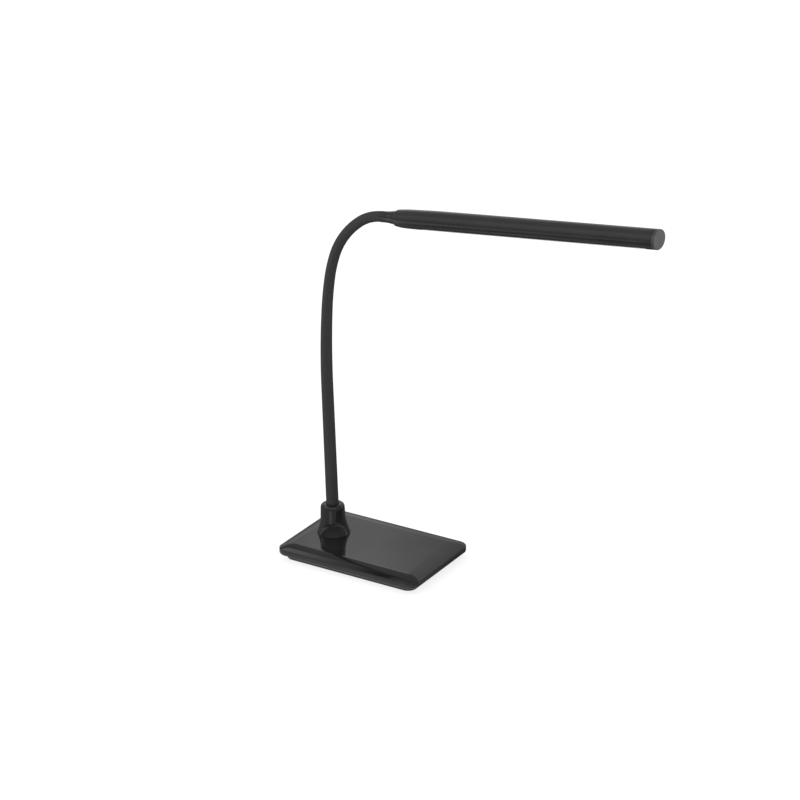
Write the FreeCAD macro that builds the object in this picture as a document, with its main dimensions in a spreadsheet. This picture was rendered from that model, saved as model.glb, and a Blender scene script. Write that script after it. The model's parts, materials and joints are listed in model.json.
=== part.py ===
"""Gooseneck desk lamp with a slim light bar, standing on a weighted rectangular base.

Millimetres and degrees. The origin is the middle of the underside of the non-slip pad, +X runs along
the base towards the tip of the lamp head, +Y to the back and +Z up.
"""
import FreeCAD, Part
import math
import operator
import os
from types import SimpleNamespace

import Sketcher

Vector = FreeCAD.Vector
Rotation = FreeCAD.Rotation
Placement = FreeCAD.Placement

doc = FreeCAD.newDocument("desk_lamp")
sheet = doc.addObject("Spreadsheet::Sheet", "Sizes")
pieces = {}


# Driving dimensions

DRIVING_SIZES = {
    # base shell and tray
    "base_length": 145.0,
    "base_width": 99.4,
    "base_height": 15.3,
    "base_corner": 10.0,
    "crown_inset": 13.8,
    "crown_drop": 4.0,
    "lip_height": 6.25,
    "lip_round": 0.6,
    "cover_wall": 2.0,
    "tray_inset": 5.9,
    "tray_floor": 1.8,
    "tray_wall": 1.8,
    "flange_thickness": 1.2,
    "pad_thickness": 1.0,
    "pad_margin": 2.5,
    "slip_gap": 0.2,
    # fasteners of the base
    "tray_screw_inset_x": 14.5,
    "tray_screw_inset_y": 14.7,
    "tray_screw_radius": 1.25,
    "tray_screw_head": 2.5,
    "tray_screw_head_height": 2.0,
    "tray_screw_sink": 0.5,
    "tray_screw_length": 9.8,
    "tray_post_radius": 4.2,
    "tray_post_web": 2.55,
    "cover_post_radius": 3.2,
    "screw_gap": 0.05,
    # ballast
    "ballast_thickness": 7.6,
    "ballast_side_margin": 17.7,
    "ballast_end_margin": 21.5,
    "ballast_board_gap": 4.0,
    "tape_thickness": 0.5,
    "tape_inset": 6.0,
    # collar and stud
    "neck_inset": 29.85,
    "neck_lean": 2.1,
    "collar_height": 28.5,
    "collar_foot_radius": 15.0,
    "collar_foot_edge": 0.6,
    "collar_flare_radius": 14.5,
    "collar_flare_height": 12.0,
    "collar_low_radius": 12.1,
    "collar_top_radius": 10.75,
    "collar_shoulder": 3.4,
    "stud_radius": 4.95,
    "stud_bore": 2.5,
    "stud_depth": 6.5,
    "stud_top_gap": 0.5,
    "stud_below_nut": 0.8,
    "seat_web": 1.0,
    "washer_radius": 8.6,
    "washer_thickness": 1.0,
    "nut_circumradius": 8.1,
    "nut_thickness": 3.2,
    # cord gland
    "gland_from_board": 26.5,
    "gland_z": 7.4,
    "gland_radius": 3.0,
    "gland_bore": 1.7,
    "gland_length": 10.5,
    "gland_proud": 1.2,
    # dimmer board
    "board_inset_x": 34.0,
    "board_inset_y": 24.7,
    "board_length": 27.0,
    "board_width": 22.0,
    "board_thickness": 1.6,
    "board_standoff": 1.5,
    "standoff_radius": 2.2,
    "board_screw_radius": 0.95,
    "board_screw_head": 1.8,
    "board_screw_head_height": 1.2,
    "board_screw_inset": 3.0,
    "chip_height": 1.6,
    "terminal_length": 6.5,
    "terminal_width": 5.5,
    "terminal_height": 3.2,
    "terminal_inset": 0.5,
    "touch_pillar_radius": 3.0,
    "touch_pillar_x": -3.0,
    "touch_pillar_inset": 6.0,
    # gooseneck
    "gooseneck_length": 302.0,
    "sleeve_radius": 5.65,
    "sleeve_top_radius": 4.65,
    "sleeve_bore": 3.25,
    "core_radius": 3.2,
    "core_bore": 2.0,
    "lead_radius": 1.6,
    "lead_bend": 3.2,
    "lead_lift": 0.15,
    "joint_gap": 0.3,
    "fit_gap": 0.05,
    "stub_above_collar": 5.0,
    "head_seat": 11.5,
    "core_overhang": 3.3,
    # lamp head
    "head_length": 263.5,
    "head_half_height": 8.35,
    "head_half_width": 11.0,
    "head_wall": 1.4,
    "trim_gap": 0.1,
    "mouth_x": 16.4,
    "mouth_top": 7.0,
    "mouth_bottom": 7.0,
    "mouth_half_width": 8.8,
    "swell_x": 27.0,
    "swell_top": 7.75,
    "swell_bottom": 8.2,
    "swell_half_width": 10.2,
    "full_x": 62.0,
    "ferrule_wall": 0.25,
    "ferrule_mid_x": 7.0,
    "ferrule_mid_bottom": 4.95,
    "ferrule_mid_half_width": 5.4,
    "ferrule_step": 1.2,
    "spigot_length": 9.0,
    "end_cap_thickness": 2.2,
    "end_cap_plug": 5.0,
    "diffuser_start": 44.0,
    "diffuser_width": 15.0,
    "diffuser_end_margin": 9.0,
    "carrier_thickness": 1.5,
    "carrier_top": -0.5,
    "carrier_start": 40.0,
    "carrier_end_gap": 1.0,
    "carrier_side_gap": 0.6,
    "strip_width": 12.0,
    "strip_thickness": 1.0,
    "strip_margin": 9.0,
    "diode_length": 2.8,
    "diode_width": 3.5,
    "diode_height": 0.7,
    "carrier_screw_radius": 1.0,
    "carrier_screw_head": 2.1,
    "carrier_screw_head_height": 1.3,
    "carrier_screw_grip": 4.5,
    "carrier_pilot_depth": 5.2,
    "carrier_screw_inset": 4.5,
    "post_radius": 2.4,
}

# Parts of the gooseneck's length that each link between two bending points has, from the collar up, and
# the forward turn of each
LINK_PARTS = (18, 18, 18, 18, 18, 15, 12, 11, 11, 12)
LINK_TURNS = (0.0, 0.0, 0.0, 2.5, 2.7, 5.3, 10.2, 18.0, 16.4, 31.2)

# Share of the sleeve's taper that each stretch has, from the stub in the collar to the one in the head
SLEEVE_TAPER = (0.0, 0.05, 0.15, 0.22, 0.33, 0.55, 0.82, 0.97, 1.0, 1.0, 1.0)

# How far a cutter stands past what it cuts, and how deep a joined form starts in what carries it
CUT_PAST = 1.0
SINK = 0.5

# Steps up the crowned edge of the cover, and the share of its inset that the plan corners lose
CROWN_STEPS = (0.0, 0.12, 0.3, 0.55, 0.8, 1.0)
CROWN_CORNER_SHARE = 0.6

DIODE_COUNT = 24
CHIP_OFFSETS = ((-8.0, -5.0, 7.0, 5.0), (3.0, -6.0, 6.0, 6.0), (10.5, 1.0, 4.0, 3.0))


class Size:
    """A length that knows its number and the sheet expression that it comes from."""

    def __init__(self, number, text):
        self.number = float(number)
        self.text = text

    def _with(self, other, sign, calculate, swapped=False):
        other = as_size(other)
        first, second = (other, self) if swapped else (self, other)
        text = "({} {} {})".format(first.text, sign, second.text)
        return Size(calculate(first.number, second.number), text)

    def __add__(self, other):
        return self._with(other, "+", operator.add)

    def __radd__(self, other):
        return self._with(other, "+", operator.add, True)

    def __sub__(self, other):
        return self._with(other, "-", operator.sub)

    def __rsub__(self, other):
        return self._with(other, "-", operator.sub, True)

    def __mul__(self, other):
        return self._with(other, "*", operator.mul)

    def __rmul__(self, other):
        return self._with(other, "*", operator.mul, True)

    def __truediv__(self, other):
        return self._with(other, "/", operator.truediv)

    def __neg__(self):
        return 0 - self


def as_size(value):
    return value if isinstance(value, Size) else Size(value, "{:.6f}".format(value))


def fill_sheet():
    """Write every driving dimension to the sheet and return them as sizes."""
    values = dict(DRIVING_SIZES)
    for index, turn in enumerate(LINK_TURNS, start=1):
        values["link_{}_turn".format(index)] = turn
    for row, (alias, value) in enumerate(values.items(), start=1):
        sheet.set("A{}".format(row), alias.replace("_", " "))
        sheet.set("B{}".format(row), str(value))
        sheet.setAlias("B{}".format(row), alias)
    doc.recompute()
    return SimpleNamespace(**{a: Size(sheet.get(a), "Sizes." + a) for a in values})


size = fill_sheet()


# Small helpers

def bind(obj, **properties):
    """Tie properties of an object to sizes of the sheet."""
    for name, value in properties.items():
        value = as_size(value)
        setattr(obj, name, value.number)
        obj.setExpression(name, value.text)
    return obj


def put(obj, x=0.0, y=0.0, z=0.0, rotation=None):
    """Place an object at a point given in sizes."""
    x, y, z = as_size(x), as_size(y), as_size(z)
    obj.Placement = Placement(Vector(x.number, y.number, z.number), rotation or Rotation())
    for axis, value in zip("xyz", (x, y, z)):
        obj.setExpression("Placement.Base." + axis, value.text)
    return obj


ALONG_X = Rotation(Vector(0, 1, 0), 90)
ALONG_Y = Rotation(Vector(1, 0, 0), -90)


def block(name, spans):
    """A box over three (low, high) spans."""
    lows = [as_size(low) for low, high in spans]
    lengths = [as_size(high) - low for (_, high), low in zip(spans, lows)]
    box = doc.addObject("Part::Box", name)
    bind(box, Length=lengths[0], Width=lengths[1], Height=lengths[2])
    return put(box, *lows)


def rod(name, radius, height, x=0.0, y=0.0, z=0.0, rotation=None):
    cylinder = doc.addObject("Part::Cylinder", name)
    bind(cylinder, Radius=radius, Height=height)
    return put(cylinder, x, y, z, rotation)


def fuse(name, *objects):
    if len(objects) == 1:
        return objects[0]
    joined = doc.addObject("Part::MultiFuse", name)
    joined.Shapes = list(objects)
    return joined


def cut(name, base, *tools):
    result = doc.addObject("Part::Cut", name)
    result.Base = base
    result.Tool = fuse(name + "_tools", *tools)
    return result


def common(name, first, second):
    result = doc.addObject("Part::MultiCommon", name)
    result.Shapes = [first, second]
    return result


def keep(label, obj, placement=None):
    """Register a finished piece under the name of its node."""
    if placement is not None:
        obj.Placement = placement.multiply(obj.Placement)
    obj.Label = label
    pieces[label] = obj
    return obj


def group(label, solids):
    """Several equal solids that share one node."""
    compound = doc.addObject("Part::Compound", label)
    compound.Links = list(solids)
    return compound


# Sketch helpers

def sketch_at(body, name, z):
    """A sketch parallel to the body's XY plane, lifted to z."""
    plane = next(f for f in body.Origin.OriginFeatures if f.Role == "XY_Plane")
    sketch = body.newObject("Sketcher::SketchObject", name)
    sketch.AttachmentSupport = [(plane, "")]
    sketch.MapMode = "FlatFace"
    z = as_size(z)
    sketch.AttachmentOffset = Placement(Vector(0, 0, z.number), Rotation())
    sketch.setExpression("AttachmentOffset.Base.z", z.text)
    return sketch


def rounded_rectangle(sketch, length, width, corner):
    """Four lines and four corner arcs about the sketch's origin, fully constrained."""
    length, width, corner = as_size(length), as_size(width), as_size(corner)
    x, y, r = length.number / 2, width.number / 2, corner.number
    ends = [(r - x, -y, x - r, -y), (x, r - y, x, y - r), (x - r, y, r - x, y), (-x, y - r, -x, r - y)]
    centres = [(x - r, r - y, -90), (x - r, y - r, 0), (r - x, y - r, 90), (r - x, r - y, 180)]
    for (ax, ay, bx, by), (cx, cy, start) in zip(ends, centres):
        sketch.addGeometry(Part.LineSegment(Vector(ax, ay, 0), Vector(bx, by, 0)), False)
        circle = Part.Circle(Vector(cx, cy, 0), Vector(0, 0, 1), r)
        arc = Part.ArcOfCircle(circle, math.radians(start), math.radians(start + 90))
        sketch.addGeometry(arc, False)
    bottom, right, top, left = 0, 2, 4, 6
    for line in (bottom, right, top, left):
        arc = line + 1
        following = (line + 2) % 8
        sketch.addConstraint(Sketcher.Constraint("Tangent", line, 2, arc, 1))
        sketch.addConstraint(Sketcher.Constraint("Tangent", arc, 2, following, 1))
    for line in (bottom, top):
        sketch.addConstraint(Sketcher.Constraint("Horizontal", line))
    for line in (right, left):
        sketch.addConstraint(Sketcher.Constraint("Vertical", line))
    for arc in (3, 5, 7):
        sketch.addConstraint(Sketcher.Constraint("Equal", 1, arc))
    sketch.addConstraint(Sketcher.Constraint("Symmetric", bottom, 1, top, 1, -1, 1))
    for kind, geometry, value in (("Radius", (1,), corner),
                                  ("DistanceX", (left, 1, right, 1), length),
                                  ("DistanceY", (bottom, 1, top, 1), width)):
        index = sketch.addConstraint(Sketcher.Constraint(kind, *geometry, value.number))
        sketch.setExpression("Constraints[{}]".format(index), value.text)
    return sketch


def circles(sketch, centres, radius):
    """Equal circles about points given in sizes."""
    radius = as_size(radius)
    for x, y in centres:
        x, y = as_size(x), as_size(y)
        centre = Vector(x.number, y.number, 0)
        circle = sketch.addGeometry(Part.Circle(centre, Vector(0, 0, 1), radius.number), False)
        index = sketch.addConstraint(Sketcher.Constraint("Radius", circle, radius.number))
        sketch.setExpression("Constraints[{}]".format(index), radius.text)
        for kind, value in (("DistanceX", x), ("DistanceY", y)):
            number = value.number
            index = sketch.addConstraint(Sketcher.Constraint(kind, -1, 1, circle, 3, number))
            sketch.setExpression("Constraints[{}]".format(index), value.text)
    return sketch


def feature(body, kind, name, sketch, length, backwards=False):
    """A pad or pocket of one sketch."""
    result = body.newObject("PartDesign::" + kind, name)
    result.Profile = sketch
    result.Reversed = backwards
    bind(result, Length=length)
    sketch.Visibility = False
    return result


def loft(body, kind, name, sections):
    result = body.newObject("PartDesign::" + kind, name)
    result.Profile = sections[0]
    result.Sections = sections[1:]
    result.Ruled = False
    return result


def new_body(label):
    return doc.addObject("PartDesign::Body", label)


# Heights that several pieces share

tray_bottom = size.pad_thickness
floor_top = tray_bottom + size.tray_floor
ceiling = size.base_height - size.cover_wall
side_top = size.base_height - size.crown_drop
tray_length = size.base_length - 2 * size.tray_inset
tray_width = size.base_width - 2 * size.tray_inset
tray_corner = size.base_corner - size.tray_inset / 3
inner_length = size.base_length - 2 * size.cover_wall
inner_width = size.base_width - 2 * size.cover_wall
inner_corner = size.base_corner - size.cover_wall
flange_bottom = size.lip_height + size.slip_gap
flange_top = flange_bottom + size.flange_thickness
screw_seat_depth = size.tray_screw_sink + size.tray_screw_head_height
tray_post_top = tray_bottom + screw_seat_depth + size.tray_post_web
screw_x = size.base_length / 2 - size.tray_screw_inset_x
screw_y = size.base_width / 2 - size.tray_screw_inset_y
screw_corners = [(sx * screw_x, sy * screw_y) for sx in (-1, 1) for sy in (-1, 1)]
board_x = size.board_inset_x - size.base_length / 2
board_y = size.base_width / 2 - size.board_inset_y
gland_x = board_x + size.gland_from_board
foot_drop = size.collar_height * math.tan(math.radians(size.neck_lean.number))
stud_x = size.neck_inset - size.base_length / 2 + foot_drop
seat_floor = size.base_height + size.stud_depth + size.seat_web
carrier_end = size.head_length - size.end_cap_thickness - size.end_cap_plug - size.carrier_end_gap


def gland_hole(name):
    """The round hole that the gland sits in, open downwards to the lip."""
    radius = size.gland_radius + size.fit_gap
    start = size.base_width / 2 - size.gland_length
    reach = 2 * size.gland_length
    hole = rod(name + "_round", radius, reach, gland_x, start, size.gland_z, ALONG_Y)
    slot = block(name + "_slot", [(gland_x - radius, gland_x + radius),
                                  (start, start + reach),
                                  (size.gland_z - radius, size.gland_z)])
    return fuse(name, hole, slot)


# Base: pad, tray, ballast and cover

def make_pad():
    body = new_body("non_slip_pad")
    outline = sketch_at(body, "pad_outline", 0.0)
    rounded_rectangle(outline, tray_length - 2 * size.pad_margin, tray_width - 2 * size.pad_margin,
                      tray_corner - size.pad_margin / 2)
    feature(body, "Pad", "pad_sheet", outline, size.pad_thickness)
    keep("non_slip_pad", body)


def make_tray():
    body = new_body("tray_body")
    outline = sketch_at(body, "tray_outline", tray_bottom)
    rounded_rectangle(outline, tray_length, tray_width, tray_corner)
    feature(body, "Pad", "tray_block", outline, flange_top - tray_bottom)

    flange = sketch_at(body, "flange_outline", flange_bottom)
    rounded_rectangle(flange, inner_length - 2 * size.slip_gap, inner_width - 2 * size.slip_gap,
                      inner_corner - size.slip_gap)
    feature(body, "Pad", "tray_flange", flange, size.flange_thickness)

    inside = sketch_at(body, "tray_inside", floor_top)
    rounded_rectangle(inside, tray_length - 2 * size.tray_wall, tray_width - 2 * size.tray_wall,
                      tray_corner - size.tray_wall / 2)
    feature(body, "Pocket", "tray_hollow", inside, flange_top - floor_top + CUT_PAST, True)

    posts = sketch_at(body, "tray_posts", floor_top - SINK)
    circles(posts, screw_corners, size.tray_post_radius)
    feature(body, "Pad", "tray_post_pads", posts, tray_post_top - floor_top + SINK)

    board_feet = sketch_at(body, "board_feet", floor_top - SINK)
    circles(board_feet, board_screw_places(), size.standoff_radius)
    feature(body, "Pad", "board_foot_pads", board_feet, size.board_standoff + SINK)

    seats = sketch_at(body, "screw_seats", tray_bottom)
    circles(seats, screw_corners, size.tray_screw_head + size.slip_gap)
    feature(body, "Pocket", "screw_head_seats", seats, screw_seat_depth, True)

    holes = sketch_at(body, "screw_holes", tray_bottom)
    circles(holes, screw_corners, size.tray_screw_radius + size.slip_gap)
    feature(body, "Pocket", "screw_through_holes", holes, size.base_height, True)

    pilots = sketch_at(body, "board_pilots", floor_top)
    circles(pilots, board_screw_places(), size.board_screw_radius + size.screw_gap)
    feature(body, "Pocket", "board_pilot_holes", pilots, size.base_height, True)
    keep("base_tray", cut("base_tray", body, gland_hole("tray_gland_hole")))


def board_screw_places():
    reach_x = size.board_length / 2 - size.board_screw_inset
    reach_y = size.board_width / 2 - size.board_screw_inset
    return [(board_x - reach_x, board_y + reach_y), (board_x + reach_x, board_y - reach_y)]


def make_ballast():
    half_width = size.base_width / 2 - size.ballast_side_margin
    tape_top = floor_top + size.tape_thickness
    span_x = (board_x + size.board_length / 2 + size.ballast_board_gap,
              size.base_length / 2 - size.ballast_end_margin)
    keep("ballast_plate", block("ballast_plate", [span_x, (-half_width, half_width),
                                                  (tape_top, tape_top + size.ballast_thickness)]))
    inset = size.tape_inset
    keep("ballast_tape", block("ballast_tape", [(span_x[0] + inset, span_x[1] - inset),
                                                (inset - half_width, half_width - inset),
                                                (floor_top, tape_top)]))


def crown_point(fraction):
    """Inset and drop of the crowned edge, an arc that is flat where it meets the top."""
    inset, drop = size.crown_inset.number, size.crown_drop.number
    radius = (inset ** 2 + drop ** 2) / (2 * drop)
    across = inset * (1 - fraction)
    return as_size(inset * fraction), as_size(drop - radius + math.sqrt(radius ** 2 - across ** 2))


def make_cover():
    body = new_body("cover_body")
    lip = sketch_at(body, "lip_outline", size.lip_height)
    rounded_rectangle(lip, size.base_length - 2 * size.lip_round, size.base_width - 2 * size.lip_round,
                      size.base_corner - size.lip_round)
    sections = [lip]
    waist = sketch_at(body, "waist_outline", size.lip_height + 2 * size.lip_round)
    sections.append(rounded_rectangle(waist, size.base_length, size.base_width, size.base_corner))
    loft(body, "AdditiveLoft", "lip_edge", sections)
    side = sketch_at(body, "side_outline", size.lip_height + 2 * size.lip_round)
    rounded_rectangle(side, size.base_length, size.base_width, size.base_corner)
    feature(body, "Pad", "side_wall", side, side_top - size.lip_height - 2 * size.lip_round)
    outlines = []
    for index, fraction in enumerate(CROWN_STEPS):
        inset, rise = crown_point(fraction)
        outline = sketch_at(body, "crown_outline_{}".format(index), side_top + rise)
        corner = size.base_corner - CROWN_CORNER_SHARE * inset
        outlines.append(rounded_rectangle(outline, size.base_length - 2 * inset,
                                          size.base_width - 2 * inset, corner))
    loft(body, "AdditiveLoft", "crown", outlines)

    hollow_top = side_top - size.cover_wall
    hollow = sketch_at(body, "hollow_outline", size.lip_height)
    rounded_rectangle(hollow, inner_length, inner_width, inner_corner)
    feature(body, "Pocket", "hollow_low", hollow, hollow_top - size.lip_height, True)
    low = sketch_at(body, "hollow_low_outline", hollow_top)
    rounded_rectangle(low, inner_length, inner_width, inner_corner)
    high = sketch_at(body, "hollow_high_outline", ceiling)
    rounded_rectangle(high, size.base_length - 2 * size.crown_inset - 2 * size.cover_wall,
                      size.base_width - 2 * size.crown_inset - 2 * size.cover_wall, inner_corner / 2)
    loft(body, "SubtractiveLoft", "hollow_high", [low, high])

    posts = sketch_at(body, "cover_posts", tray_post_top + size.slip_gap)
    circles(posts, screw_corners, size.cover_post_radius)
    feature(body, "Pad", "cover_post_pads", posts, ceiling + SINK - tray_post_top - size.slip_gap)
    pilots = sketch_at(body, "cover_pilots", tray_post_top)
    circles(pilots, screw_corners, size.tray_screw_radius + size.screw_gap)
    pilot_depth = tray_bottom + screw_seat_depth + size.tray_screw_length - tray_post_top + size.slip_gap
    feature(body, "Pocket", "cover_pilot_holes", pilots, pilot_depth, True)
    stud_hole = sketch_at(body, "stud_hole", ceiling - CUT_PAST)
    circles(stud_hole, [(stud_x, 0.0)], size.stud_radius + size.slip_gap)
    feature(body, "Pocket", "stud_through_hole", stud_hole, size.cover_wall + 2 * CUT_PAST, True)
    keep("base_cover", cut("base_cover", body, gland_hole("cover_gland_hole")))


def make_screw(name, head_radius, head_height, shank_radius, shank_length):
    """A screw that stands upright on its head, with a cross recess left to the finish."""
    head = rod(name + "_head", head_radius, head_height)
    shank = rod(name + "_shank", shank_radius, shank_length, z=head_height)
    return fuse(name, head, shank)


def make_tray_screws():
    screws = []
    for index, (x, y) in enumerate(screw_corners):
        screw = make_screw("tray_screw_{}".format(index), size.tray_screw_head,
                           size.tray_screw_head_height, size.tray_screw_radius, size.tray_screw_length)
        screws.append(put(screw, x, y, tray_bottom + size.tray_screw_sink))
    keep("tray_screws", group("tray_screws", screws))


def make_gland():
    start = size.base_width / 2 + size.gland_proud - size.gland_length
    sleeve = rod("gland_outside", size.gland_radius, size.gland_length, gland_x, start, size.gland_z, ALONG_Y)
    bore = rod("gland_inside", size.gland_bore, size.gland_length + 2 * CUT_PAST, gland_x, start - CUT_PAST,
               size.gland_z, ALONG_Y)
    keep("cord_gland", cut("cord_gland", sleeve, bore))


def make_board():
    bottom = floor_top + size.board_standoff
    top = bottom + size.board_thickness
    half_length, half_width = size.board_length / 2, size.board_width / 2
    plate = block("board_plate", [(board_x - half_length, board_x + half_length),
                                  (board_y - half_width, board_y + half_width),
                                  (bottom, top)])
    holes = [rod("board_hole_{}".format(i), size.board_screw_radius + size.slip_gap,
                 size.board_thickness + 2 * CUT_PAST, x, y, bottom - CUT_PAST)
             for i, (x, y) in enumerate(board_screw_places())]
    keep("dimmer_board", cut("dimmer_board", plate, *holes))
    chips = []
    for index, (x, y, length, width) in enumerate(CHIP_OFFSETS):
        chips.append(block("chip_{}".format(index),
                           [(board_x + (x - length / 2), board_x + (x + length / 2)),
                            (board_y + (y - width / 2), board_y + (y + width / 2)),
                            (top, top + size.chip_height)]))
    keep("board_chips", group("board_chips", chips))
    far_x = board_x + half_length - size.terminal_inset
    far_y = board_y + half_width - 2 * size.terminal_inset
    keep("inlet_terminal", block("inlet_terminal", [(far_x - size.terminal_length, far_x),
                                                    (far_y - size.terminal_width, far_y),
                                                    (top, top + size.terminal_height)]))
    screws = []
    for index, (x, y) in enumerate(board_screw_places()):
        screw = make_screw("board_screw_{}".format(index), size.board_screw_head,
                           size.board_screw_head_height, size.board_screw_radius,
                           size.board_thickness + size.board_standoff)
        screws.append(put(screw, x, y, top + size.board_screw_head_height, Rotation(Vector(1, 0, 0), 180)))
    keep("board_screws", group("board_screws", screws))
    pillar_x = board_x + size.touch_pillar_x
    pillar_y = board_y + half_width - size.touch_pillar_inset
    keep("touch_pillar", rod("touch_pillar", size.touch_pillar_radius, ceiling - size.slip_gap - top,
                             pillar_x, pillar_y, top))


# Collar, stud, washer and nut

def make_collar():
    skirt_depth = 4 * SINK
    lean = Rotation(Vector(0, 1, 0), -size.neck_lean.number)
    cone = doc.addObject("Part::Cone", "collar_cone")
    bind(cone, Radius1=size.collar_low_radius, Radius2=size.collar_top_radius, Height=size.collar_height)
    rounded = doc.addObject("Part::Fillet", "collar_shoulders")
    rounded.Base = cone
    doc.recompute()
    top_edge = next(i for i, e in enumerate(cone.Shape.Edges, start=1)
                    if e.Curve.TypeId == "Part::GeomCircle"
                    and abs(e.CenterOfMass.z - size.collar_height.number) < 1e-6)
    rounded.Edges = [(top_edge, size.collar_shoulder.number, size.collar_shoulder.number)]
    foot = rod("collar_foot", size.collar_foot_radius, size.collar_foot_edge)
    skirt = rod("collar_skirt", size.collar_foot_radius, skirt_depth + SINK, z=-skirt_depth)
    slope = (size.collar_low_radius - size.collar_top_radius) / size.collar_height
    flare = doc.addObject("Part::Cone", "collar_flare")
    bind(flare, Radius1=size.collar_flare_radius, Height=size.collar_flare_height - size.collar_foot_edge,
         Radius2=size.collar_low_radius - slope * size.collar_flare_height)
    put(flare, z=size.collar_foot_edge)
    sleeve_bore = rod("collar_sleeve_bore", size.sleeve_radius + size.fit_gap, size.collar_height,
                      z=seat_floor - size.base_height)
    outside = fuse("collar_outside", rounded, flare, foot, skirt)
    leaning = cut("collar_leaning", outside, sleeve_bore)
    leaning.Placement = Placement(Vector(stud_x.number, 0, size.base_height.number), lean)
    room = 2 * size.collar_foot_radius
    below = block("collar_below", [(stud_x - room, stud_x + room), (-room, room),
                                   (size.base_height - 2 * skirt_depth, size.base_height)])
    stud_bore = rod("collar_stud_bore", size.stud_radius + size.screw_gap, size.stud_depth,
                    stud_x, 0.0, size.base_height)
    lead_bore = rod("collar_lead_bore", size.stud_bore, size.collar_height / 2, stud_x, 0.0,
                    size.base_height)
    keep("neck_collar", cut("neck_collar", leaning, below, stud_bore, lead_bore))


def make_stud():
    bottom = ceiling - size.washer_thickness - size.nut_thickness - size.stud_below_nut
    length = size.base_height + size.stud_depth - size.stud_top_gap - bottom
    outside = rod("stud_outside", size.stud_radius, length, stud_x, 0.0, bottom)
    inside = rod("stud_inside", size.stud_bore, length + 2 * CUT_PAST, stud_x, 0.0, bottom - CUT_PAST)
    keep("neck_stud", cut("neck_stud", outside, inside))

    hole_radius = size.stud_radius + size.screw_gap
    washer_bottom = ceiling - size.washer_thickness
    disc = rod("washer_disc", size.washer_radius, size.washer_thickness, stud_x, 0.0, washer_bottom)
    hole = rod("washer_hole", hole_radius, size.washer_thickness + 2 * CUT_PAST, stud_x, 0.0,
               washer_bottom - CUT_PAST)
    keep("stud_washer", cut("stud_washer", disc, hole))

    nut_bottom = washer_bottom - size.nut_thickness
    hexagon = doc.addObject("Part::Prism", "nut_hexagon")
    hexagon.Polygon = 6
    bind(hexagon, Circumradius=size.nut_circumradius, Height=size.nut_thickness)
    put(hexagon, stud_x, 0.0, nut_bottom)
    thread = rod("nut_thread", hole_radius, size.nut_thickness + 2 * CUT_PAST, stud_x, 0.0,
                 nut_bottom - CUT_PAST)
    keep("stud_nut", cut("stud_nut", hexagon, thread))


def make_lead_tail():
    """The lead below the gooseneck: down the stud and round to the edge of the board."""
    radius, bend = size.lead_radius.number, size.lead_bend.number
    low = floor_top.number + radius + size.lead_lift.number
    top = (seat_floor - size.joint_gap).number
    x = stud_x.number
    board_edge = (board_y - size.board_width / 2 - size.joint_gap).number
    down = Part.LineSegment(Vector(x, 0, top), Vector(x, 0, low + bend))
    nearer = bend * (1 - math.cos(math.radians(45)))
    middle = Vector(x, nearer, low + nearer)
    corner = Part.Arc(Vector(x, 0, low + bend), middle, Vector(x, bend, low))
    along = Part.LineSegment(Vector(x, bend, low), Vector(x, board_edge, low))
    path = Part.Wire([down.toShape(), corner.toShape(), along.toShape()])
    ring = Part.Wire([Part.Circle(Vector(x, 0, top), Vector(0, 0, 1), radius).toShape()])
    tail = doc.addObject("Part::Feature", "lead_tail")
    tail.Shape = path.makePipeShell([ring], True, False)
    keep("lead_tail", tail)


# Gooseneck

class Link:
    """One stretch of the gooseneck: an arc of the centreline between two bending points."""

    def __init__(self, index, length, turn, start):
        self.index = index
        self.length = as_size(length)
        self.turn = as_size(turn)
        self.start = start
        self.end = start.multiply(self.end_inside())

    def end_inside(self):
        """The far end seen from the near one, whose tangent is +Z and whose bend is towards +X."""
        length, turn = self.length.number, math.radians(self.turn.number)
        if turn == 0:
            return Placement(Vector(0, 0, length), Rotation())
        radius = length / turn
        point = Vector(radius * (1 - math.cos(turn)), 0, radius * math.sin(turn))
        return Placement(point, Rotation(Vector(0, 1, 0), self.turn.number))

    def bar(self, name, radius):
        """A solid bar of the given radius along the link."""
        if self.turn.number == 0:
            return rod(name, radius, self.length)
        bend = self.length / self.turn * math.degrees(1)
        torus = doc.addObject("Part::Torus", name)
        bind(torus, Radius1=bend, Radius2=radius, Angle3=self.turn)
        across = Rotation(Vector(-1, 0, 0), Vector(0, 0, 1), Vector(0, 1, 0), "XYZ")
        return put(torus, x=bend, rotation=across)

    def tip_rod(self, name, radius, height):
        """A straight piece that carries on from the far end."""
        straight = doc.addObject("Part::Cylinder", name)
        bind(straight, Radius=radius, Height=height)
        straight.Placement = self.end_inside()
        return straight


def gooseneck_links():
    """All links in order, with the stub in the collar first."""
    stub_length = size.collar_height + size.stub_above_collar - (seat_floor - size.base_height)
    lean = Rotation(Vector(0, 1, 0), -size.neck_lean.number)
    foot = Placement(Vector(stud_x.number, 0, size.base_height.number), lean)
    seat = foot.multiply(Placement(Vector(0, 0, (seat_floor - size.base_height).number), Rotation()))
    links = [Link(0, stub_length, 0.0, seat)]
    for index, parts in enumerate(LINK_PARTS, start=1):
        length = size.gooseneck_length * parts / sum(LINK_PARTS)
        turn = getattr(size, "link_{}_turn".format(index))
        links.append(Link(index, length, turn, links[-1].end))
    return links


def sleeve_radius_at(index):
    """The sleeve's outer radius on one link, which tapers from the collar to the head."""
    return size.sleeve_radius - SLEEVE_TAPER[index] * (size.sleeve_radius - size.sleeve_top_radius)


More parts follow.
